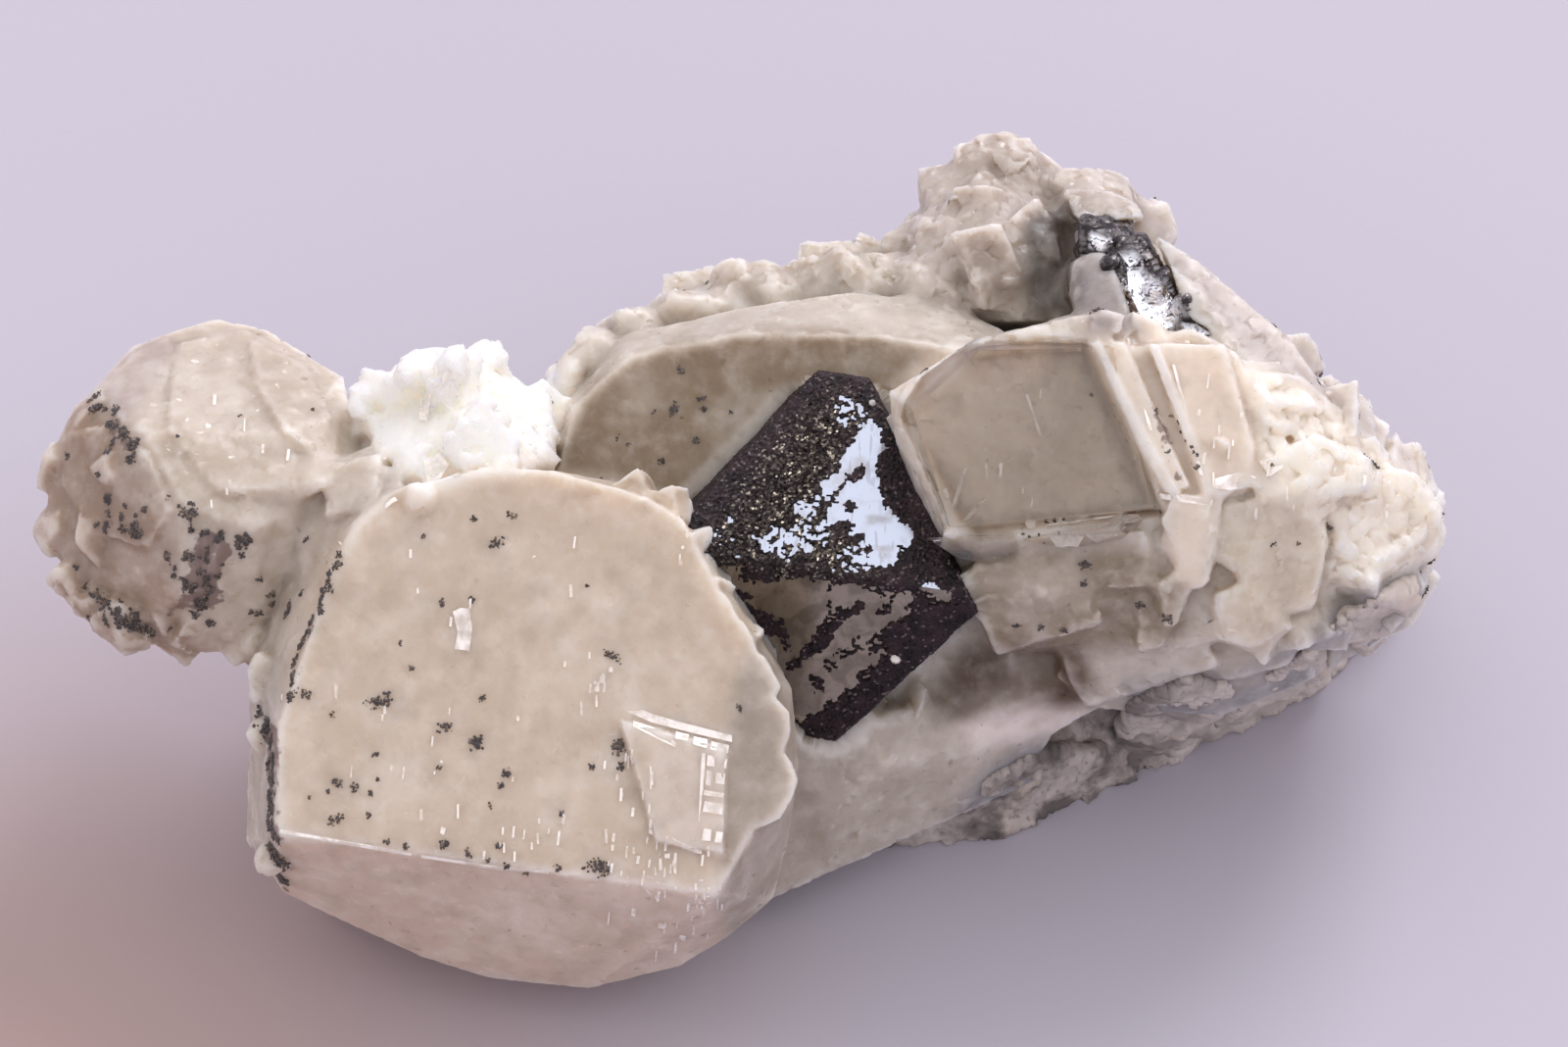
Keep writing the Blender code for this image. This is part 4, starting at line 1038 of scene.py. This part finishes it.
# The sulphide specks
# Clusters of dark sulphide grains, each a tenth of a millimetre or less, that sit on the calcite's
# faces: scattered over the block and the left crystal and in a row along the block's crease.

SPECKS = {
    # reach of a cluster in millimetres, its number of grains, and the pixels it is seen at
    "tiny": (0.07, 4, [
        (409, 656), (500, 822), (599, 598), (339, 729), (320, 418), (245, 424), (181, 445), (171, 508),
        (1114, 404), (1184, 522), (1192, 461), (1325, 554), (1300, 555), (1298, 474), (432, 547),
        (667, 421), (746, 420), (641, 453), (630, 446), (448, 783), (378, 810), (498, 878), (316, 814),
        (595, 885)]),
    "small": (0.11, 9, [
        (522, 526), (484, 529), (451, 614), (481, 612), (420, 682), (492, 712), (511, 801), (754, 722),
        (377, 832), (383, 771), (394, 858), (414, 863), (478, 871), (509, 863), (517, 883), (537, 891),
        (569, 886), (107, 417), (69, 465), (100, 483), (127, 516), (98, 536), (110, 524), (178, 580),
        (222, 588), (174, 642), (139, 628), (123, 613), (78, 579), (308, 605), (295, 619), (257, 624),
        (312, 551), (695, 377), (716, 407), (718, 418), (710, 450), (675, 471), (1037, 639), (1063, 640),
        (1086, 644), (1180, 420), (1356, 538), (307, 606), (265, 591), (213, 635), (1106, 595)]),
    "middling": (0.17, 18, [
        (507, 554), (625, 670), (454, 742), (516, 789), (344, 836), (453, 862), (618, 886), (96, 405),
        (98, 416), (125, 439), (133, 469), (109, 509), (254, 550), (192, 601), (214, 601), (198, 628),
        (214, 635), (134, 640), (688, 418), (1107, 576), (1161, 616), (1191, 631), (313, 708), (294, 620)]),
    "large": (0.24, 34, [(386, 716), (485, 758), (632, 761), (611, 885), (115, 433), (137, 455), (192, 522),
                         (138, 542), (222, 548), (246, 552), (205, 615)]),
}
SPECK_ROWS = [
    # a row's pixels, a cluster's reach in millimetres and its number of grains
    ([(347, 568), (330, 605), (317, 637), (306, 665), (298, 686), (296, 719)], 0.16, 12),
    ([(264, 721), (273, 741), (278, 777), (276, 814), (278, 843), (282, 868), (289, 905)], 0.26, 26),
    ([(192, 516), (194, 530), (200, 548)], 0.1, 10),
    ([(90, 600), (112, 622), (140, 640), (160, 645)], 0.2, 14),
    ([(1067, 534), (1080, 533), (1094, 533)], 0.05, 4),
    ([(1199, 425), (1206, 440), (1216, 462), (1225, 485)], 0.06, 4),
    ([(1045, 546), (1066, 547), (1086, 546)], 0.05, 3),
]
SPECK_FIELDS = [
    # a middle in pixels, how far round it clusters are scattered across and down, and how many
    ((206, 585), (24, 36), 26), ((120, 440), (16, 20), 8), ((118, 530), (26, 14), 7),
    ((120, 630), (34, 14), 12), ((282, 610), (16, 16), 5), ((370, 800), (50, 34), 5),
    ((600, 800), (50, 60), 3),
]
SPECK_STEP = 7  # pixels between clusters of a row
SPECK_GRAIN = (0.02, 0.05)  # mm
SPECK_SINK = 0.02  # share of a cluster's reach that its grains lie in the face
HIDDEN_SPECKS = 70


def add_speck(solid, centre, normal, reach, count, roll):
    """A cluster of irregular grains on the face whose normal is given."""
    long = Vector([roll.gauss(0, 0.5) for _ in range(3)])
    for _ in range(count * 2):
        way = Vector([roll.uniform(-0.8, 0.8) for _ in range(3)]) + long * roll.uniform(-1, 1)
        way -= normal * (way.dot(normal) + SPECK_SINK)
        size = roll.uniform(*SPECK_GRAIN) * (1 + 2.0 * reach) * MM
        turn = Euler([roll.uniform(0, math.tau) for _ in range(3)]).to_matrix()
        shape = [turn @ (Vector(axis) * size * roll.uniform(0.8, 1.2)) for axis in
                 ((1, 0, 0), (-1, 0, 0), (0, 1, 0), (0, -1, 0), (0, 0, 1), (0, 0, -1))]
        corners = [solid.verts.new(centre + way * reach * MM + point) for point in shape]
        for a, b, c in itertools.product((0, 1), (2, 3), (4, 5)):
            solid.faces.new((corners[a], corners[b], corners[c]))


roll = random.Random(12)
specks = bmesh.new()
places = [(reach, count, place) for reach, count, where in SPECKS.values() for place in where]
for row, reach, count in SPECK_ROWS:
    for start, end in zip(row, row[1:]):
        steps = max(1, round(math.dist(start, end) / SPECK_STEP))
        for k in range(steps):
            share = k / steps
            places.append((reach * roll.uniform(0.6, 1.2), count,
                           [a + (b - a) * share + roll.gauss(0, 2) for a, b in zip(start, end)]))
for (across, down), (wide, high), number in SPECK_FIELDS:
    for _ in range(number):
        places.append((roll.choice((0.05, 0.08, 0.12, 0.16)), 12,
                       (across + roll.gauss(0, wide * 0.6), down + roll.gauss(0, high * 0.6))))
for reach, count, place in places:
    hit, normal = seen(surface, *place)
    if hit:
        add_speck(specks, hit, normal, reach, count, roll)
hidden = [face for face in calcite.data.polygons
          if face.normal.dot(TOWARDS_EYE) < -0.1 and face.center.z > MM]
for face in roll.sample(hidden, HIDDEN_SPECKS):
    add_speck(specks, face.center, face.normal, roll.uniform(0.06, 0.22), roll.randint(4, 20), roll)
bmesh.ops.recalc_face_normals(specks, faces=specks.faces)
speck_piece = built("sulphide_specks", specks)
speck_metal, shade, shader = material("sulphide_grain", IOR=2.0)
patch = shade.noise(0.2 * MM, 2)
feed(shade, shader, Base_Color=shade.mix(patch.between(0.5, 0.7), tone(58, 50, 49), tone(118, 104, 90)),
     Metallic=0.15 + 0.3 * patch, Roughness=0.4 + 0.3 * patch)
speck_piece.data.materials.append(speck_metal)
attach(speck_piece, "root")

# The host rock
# A wedge of grey bedded dolomite under and behind the calcite, which grew in an open crack of it.
# It is matt and granular, with darker beds and pale veins.

ROCK_GRAIN = 0.15 * MM
ROCK_FACES = 110000
ROCK_SWELL = 0.28  # mm, which closes the gap that the solids keep between them
PALE_END = (11 * MM, 17 * MM)  # where along the specimen the rock turns paler

# Where the rock wraps up over the calcite, in pixels. Each skin is convex.
ROCK_SKINS = [
    [(1358, 640), (1405, 608), (1450, 590), (1440, 612), (1395, 660), (1348, 698)],
    [(1275, 700), (1345, 660), (1352, 690), (1310, 722), (1262, 748), (1240, 735)],
    [(1150, 716), (1210, 690), (1262, 700), (1262, 748), (1200, 766), (1146, 756)],
    [(1010, 790), (1062, 764), (1138, 766), (1146, 782), (1040, 826), (965, 845)],
]
SKIN_DEPTH = 1.5  # mm
ROCK_LAYERS = ((1.4, 0.16, 22), (0.6, 0.10, 23), (0.3, 0.05, 24))  # grain and relief in mm, and a seed

bare_rock = tree_of(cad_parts["host_rock"])
rock_solid = bmesh.new()
rock_solid.from_mesh(welded("host_rock"))
for outline in ROCK_SKINS:
    hits = [seen(surface, *corner)[0] or seen(bare_rock, *corner)[0] for corner in outline]
    near = [hit for hit in hits if hit]
    if len(near) > 3:
        slab_into(rock_solid, near, SKIN_DEPTH)
rock = built("dolomite_rock", rock_solid)
mesh = remesh(rock, ROCK_GRAIN)
points, normals = points_of(mesh), normals_of(mesh)
millimetres = points / MM
rise = ROCK_SWELL + 0.06 * waves(millimetres, 2.0, 21)
for size, height, seed in ROCK_LAYERS:
    rough, _, edge = facets(millimetres, size, seed)
    rise += height * (1.5 * rough - 0.4 * np.exp(-edge / 0.12))
points = eased(mesh, points, 4) + normals * rise[:, None] * MM
points[:, 2] = np.maximum(points[:, 2], 0)
move_to(mesh, points)
mesh = thinned(rock, ROCK_FACES)
mesh.shade_smooth()
rock_stone, shade, shader = material("grey_dolomite", IOR=1.5, Specular_IOR_Level=0.35)
bed = shade.noise(1.6 * MM, 5)
grit = shade.noise(0.28 * MM, 3)
body = shade.mix(bed.between(0.38, 0.62), tone(102, 96, 92), tone(182, 173, 167))
body = shade.mix(grit.between(0.55, 0.7) * 0.5, body, tone(80, 76, 76))
across = shade.node("SeparateXYZ", {}, {0: shade.place()}, out="X")
body = shade.mix(across.between(*PALE_END) * 0.6, body, tone(214, 204, 196))
body = shade.mix(shade.noise(3.0 * MM, 4).between(0.58, 0.7) * 0.7, body, tone(210, 196, 182))
feed(shade, shader, Base_Color=body, Roughness=0.55 + 0.3 * grit,
     Normal=(grit + bed).bump(0.7, 0.03 * MM))
mesh.materials.clear()
mesh.materials.append(rock_stone)
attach(rock, "root")
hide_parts("host_rock")

# The carrollite octahedron
# One octahedron of carrollite, bright steel-grey metal where its faces are clean. The solid's own
# faces are kept for that, with the fine growth lines that run across them. Faces that lean down get
# a warmer, darker colour with dark blotches: a painted reflection of the shaded floor and block.

GROWTH_TURN = (30, 30, 50)  # degrees that the growth lines are turned by

crystal = new_piece("carrollite_faces", welded("carrollite_crystal"))
crystal_metal, shade, shader = material("carrollite_metal", Metallic=1.0)
place = shade.place()
turn = [math.radians(angle) for angle in GROWTH_TURN]
lines = shade.node("Mapping", {}, {"Vector": place, "Rotation": turn, "Scale": (12, 0.5, 12)})
growth = shade.noise(2.0 * MM, 2, lines)
blotch = shade.noise(0.9 * MM, 5, None, Distortion=0.8)
stain = shade.noise(0.8 * MM, 4).between(0.5, 0.72)
# painted reflection: faces that lean down get a warmer, darker colour and dark blotches for the shaded
# floor and block they mirror
upper = shade.node("SeparateXYZ", {}, {0: shade.upright()}, out="Z").between(0.5, 0.7)
clean = shade.mix(upper, tone(158, 149, 136), tone(172, 175, 184))
clean = shade.mix(growth.between(0.6, 0.66) * 0.3, clean, tone(110, 100, 98))
painted_dark_reflection = (1 - upper) * blotch.between(0.45, 0.62)
clean = shade.mix(painted_dark_reflection * 0.6, clean, tone(112, 106, 94))
feed(shade, shader, Base_Color=shade.mix(stain * 0.35, clean, tone(120, 108, 96)),
     Roughness=0.16 + 0.16 * stain,
     Normal=growth.bump(0.2, 0.01 * MM))
crystal.data.materials.clear()
crystal.data.materials.append(crystal_metal)
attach(crystal, "root")
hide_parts("carrollite_crystal")

# The octahedron's crust
# A granular skin of tarnished sulphide over most of the octahedron, nearly black at its edges and
# brown with golden glints on the upper face, where the lighter colour and golden flecks are partly the
# skin's grains and partly painted glints. It broke away in ragged patches, which show the metal.

CRUST_GRAIN = 0.075 * MM
CRUST_CELL = 0.12  # mm across one grain of the skin
CRUST_RISE = 0.09  # mm that the skin stands on the metal
CRUST_SUNK = -0.12  # mm below it where the skin is gone
BROKEN_PATCHES = [
    # thin skin through which the metal shows between the grains
    [(776, 548), (790, 536), (812, 540), (836, 532), (846, 548), (830, 562), (806, 572), (782, 566)],
    [(806, 522), (820, 508), (838, 512), (834, 530), (814, 536)],
    [(846, 556), (880, 560), (905, 566), (900, 582), (860, 580)],
    [(852, 404), (880, 404), (884, 424), (862, 430), (848, 420)],
    [(726, 540), (744, 536), (752, 552), (736, 562)],
    [(724, 574), (762, 574), (756, 596), (734, 602)],
]
CLEAN_EDGE, DARK_EDGE, BROKEN_EDGE, GLINT_EDGE = 9, 5, 14, 24  # pixels
RAGGED = 0.55  # how much the patches' borders stray from grain to grain
CLEAN_PATCHES = [
    [(884, 425), (895, 437), (893, 448), (901, 456), (894, 472), (899, 488), (897, 503), (905, 516),
     (918, 533), (928, 548), (929, 560), (915, 557), (914, 573), (897, 578), (884, 574), (891, 562),
     (884, 559), (879, 547), (869, 546), (870, 536), (859, 530), (838, 538), (843, 529), (856, 510),
     (859, 498), (843, 512), (838, 499), (842, 485), (856, 474), (864, 457), (875, 449)],
    [(731, 577), (756, 577), (752, 592), (736, 598)],
    [(936, 602), (950, 597), (976, 605), (978, 615), (956, 612)],
    [(734, 600), (760, 592), (800, 590), (860, 598), (930, 606), (925, 625), (900, 640), (902, 668),
     (885, 690), (852, 712), (823, 735), (812, 748), (800, 700), (770, 650), (745, 625)],
]
DARK_PATCHES = [
    [(880, 470), (884, 478), (872, 488), (864, 498), (856, 496), (866, 482)],
    [(864, 510), (874, 510), (876, 516), (866, 523), (861, 518)],
    [(730, 604), (745, 612), (770, 622), (798, 634), (804, 655), (803, 668), (795, 652), (770, 642),
     (740, 632)],
    [(882, 612), (876, 626), (862, 634), (850, 652), (836, 664), (818, 674), (800, 692), (806, 676),
     (828, 652), (842, 636), (856, 620)],
    [(826, 693), (838, 692), (840, 702), (828, 704)],
    [(922, 599), (924, 602), (896, 630), (890, 630)],
    [(938, 616), (941, 619), (884, 670), (880, 668)],
    [(928, 644), (931, 646), (876, 694), (873, 691)],
    [(874, 650), (877, 652), (846, 676), (843, 674)],
    [(845, 602), (849, 602), (844, 642), (840, 642)],
    [(742, 600), (766, 604), (772, 612), (750, 614)],
    [(900, 645), (901, 649), (846, 684), (843, 681)],
]
# The glint zone is painted lighter, olive with golden flecks: partly the skin's grains, partly painted
# glints where the upper face catches the softbox.
GLINT_ZONE = [(850, 405), (885, 425), (860, 465), (838, 500), (850, 545), (905, 560), (890, 588),
              (790, 578), (720, 572), (728, 540), (780, 475), (820, 425)]

crust = new_piece("carrollite_crust", welded("carrollite_crystal"))
mesh = remesh(crust, CRUST_GRAIN)
points, normals = points_of(mesh), normals_of(mesh)
millimetres = points / MM
rough, middle, edge = facets(millimetres, CRUST_CELL, 31)
pixels = pixels_of(middle * MM) + np.stack([5 * waves(middle, 0.5, seed) for seed in (32, 33)], 1)
clean = np.minimum(within_any(pixels, CLEAN_PATCHES, CLEAN_EDGE),
                   1 - within_any(pixels, DARK_PATCHES, DARK_EDGE))
ragged = chance(np.round(middle * 50), 35)[:, 0] - 0.5
clean = clean + RAGGED * ragged
clean = np.maximum(clean, within_any(pixels, BROKEN_PATCHES, BROKEN_EDGE) * 0.6 + 0.7 * ragged)
clean = np.where(normals @ np.array(TOWARDS_EYE) > 0, clean, 0)
gone = clean > 0.5
rise = CRUST_RISE + 0.03 * rough + 0.045 * waves(millimetres, 0.7, 34) - 0.04 * np.exp(-edge / 0.15)
points = points + normals * np.where(gone, CRUST_SUNK, rise)[:, None] * MM
move_to(mesh, points)
store(mesh, "glint", inside(pixels_of(points), GLINT_ZONE, GLINT_EDGE))
crust_skin, shade, shader = material("tarnished_crust", IOR=1.5, Specular_IOR_Level=0.3)
place = shade.place()
speck = shade.node("TexVoronoi", {}, {"Vector": place, "Scale": 1 / (0.08 * MM)}, out="Color")
pick = shade.node("SeparateColor", {}, {0: speck}, out=0)
glint = shade.field("glint")
dark = shade.mix(shade.noise(0.5 * MM, 3).between(0.3, 0.7), tone(17, 10, 14), tone(46, 32, 37))
dark = shade.mix(pick.between(0.93, 0.96) * 0.6, dark, tone(120, 106, 108))
olive = shade.mix(pick.between(0.45, 0.95), tone(34, 27, 28), tone(88, 82, 74))
clumps = shade.noise(0.7 * MM, 3).between(0.4, 0.6)
golden = shade.mix(pick.between(0.9, 0.93) * clumps, olive, tone(198, 190, 172))
lean = speck.swing(0.35 + 0.75 * glint)
tilted = shade.upright().vector("ADD", lean).vector("NORMALIZE")
# painted glints: the glint zone's lighter, golden colour
feed(shade, shader, Base_Color=shade.mix(glint, dark, golden), Metallic=0.2 + 0.55 * glint,
     Roughness=0.5 - 0.12 * glint, Normal=tilted)
mesh.materials.clear()
mesh.materials.append(crust_skin)
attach(crust, "root")
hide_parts("carrollite_crystal")

# The carrollite seam
# A vein of massive carrollite in the crack between the calcite and the rock at the back right, dark
# and sparkling at its ends and mirror-bright where it broke across.

SEAM_GRAIN = 0.07 * MM
SEAM_SWELL = 0.14  # mm
SEAM_ROUGH, SEAM_FINE = 0.55, 0.22  # mm across its facets
BREAK_EDGE, PLATE_EDGE = 8, 3  # pixels
MIRROR_FACE = Vector((0.085, -0.197, 0.977)).normalized()  # the way a face leans that mirrors the softbox
PLATE_PROUD, PLATE_DEPTH = 0.34, 0.5  # mm
BRIGHT_PLATES = [
    [(1147, 286), (1165, 282), (1187, 291), (1196, 305), (1190, 318), (1166, 316), (1150, 305)],
    [(1152, 314), (1170, 318), (1192, 320), (1198, 332), (1184, 342), (1166, 338)],
    [(1112, 238), (1126, 236), (1134, 246), (1124, 256), (1112, 252)],
    [(1140, 262), (1156, 256), (1166, 268), (1152, 276)],
    [(1206, 330), (1220, 334), (1236, 346), (1228, 352), (1210, 342)],
    [(1240, 352), (1258, 358), (1272, 370), (1262, 374), (1244, 364)],
]
BRIGHT_BREAK = [(1142, 282), (1187, 288), (1204, 318), (1192, 342), (1168, 342), (1146, 312)]

seam = new_piece("carrollite_vein", welded("carrollite_seam"))
mesh = remesh(seam, SEAM_GRAIN)
points, normals = points_of(mesh), normals_of(mesh)
millimetres = points / MM
rough, _, edge = facets(millimetres, SEAM_ROUGH, 41)
fine, _, _ = facets(millimetres, SEAM_FINE, 42)
rise = SEAM_SWELL + 0.1 * rough + 0.03 * fine - 0.03 * np.exp(-edge / 0.1)
move_to(mesh, eased(mesh, points, 3) + normals * rise[:, None] * MM)
seam_tree = tree_of(seam)
solid = bmesh.new()
solid.from_mesh(mesh)
for outline in BRIGHT_PLATES:
    hits = [seen(seam_tree, *corner)[0] for corner in outline]
    hits = [hit for hit in hits if hit]
    if len(hits) > 3:
        heart = sum(hits, Vector()) / len(hits) + PLATE_PROUD * MM * TOWARDS_EYE
        level = [hit - MIRROR_FACE * (hit - heart).dot(MIRROR_FACE) for hit in hits]
        slab_into(solid, level, PLATE_DEPTH)
solid.to_mesh(mesh)
solid.free()
pixels = pixels_of(points_of(mesh))
store(mesh, "bright", np.maximum(inside(pixels, BRIGHT_BREAK, BREAK_EDGE),
                                 within_any(pixels, BRIGHT_PLATES, PLATE_EDGE)))
seam_metal, shade, shader = material("carrollite_vein_metal", Metallic=1.0)
bright = shade.field("bright")
shadow = shade.mix(shade.noise(0.35 * MM, 3).between(0.4, 0.6), tone(60, 56, 58), tone(120, 116, 116))
crackle = shade.noise(0.2 * MM, 4, None, Distortion=1.2)
silver = shade.mix(crackle.between(0.35, 0.44), tone(96, 96, 98), tone(232, 232, 236))
feed(shade, shader, Base_Color=shade.mix(bright, shadow, silver), Roughness=0.34 - 0.14 * bright,
     Normal=shade.noise(0.3 * MM, 3).bump(0.6, 0.02 * MM))
mesh.materials.clear()
mesh.materials.append(seam_metal)
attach(seam, "root")
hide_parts("carrollite_seam")
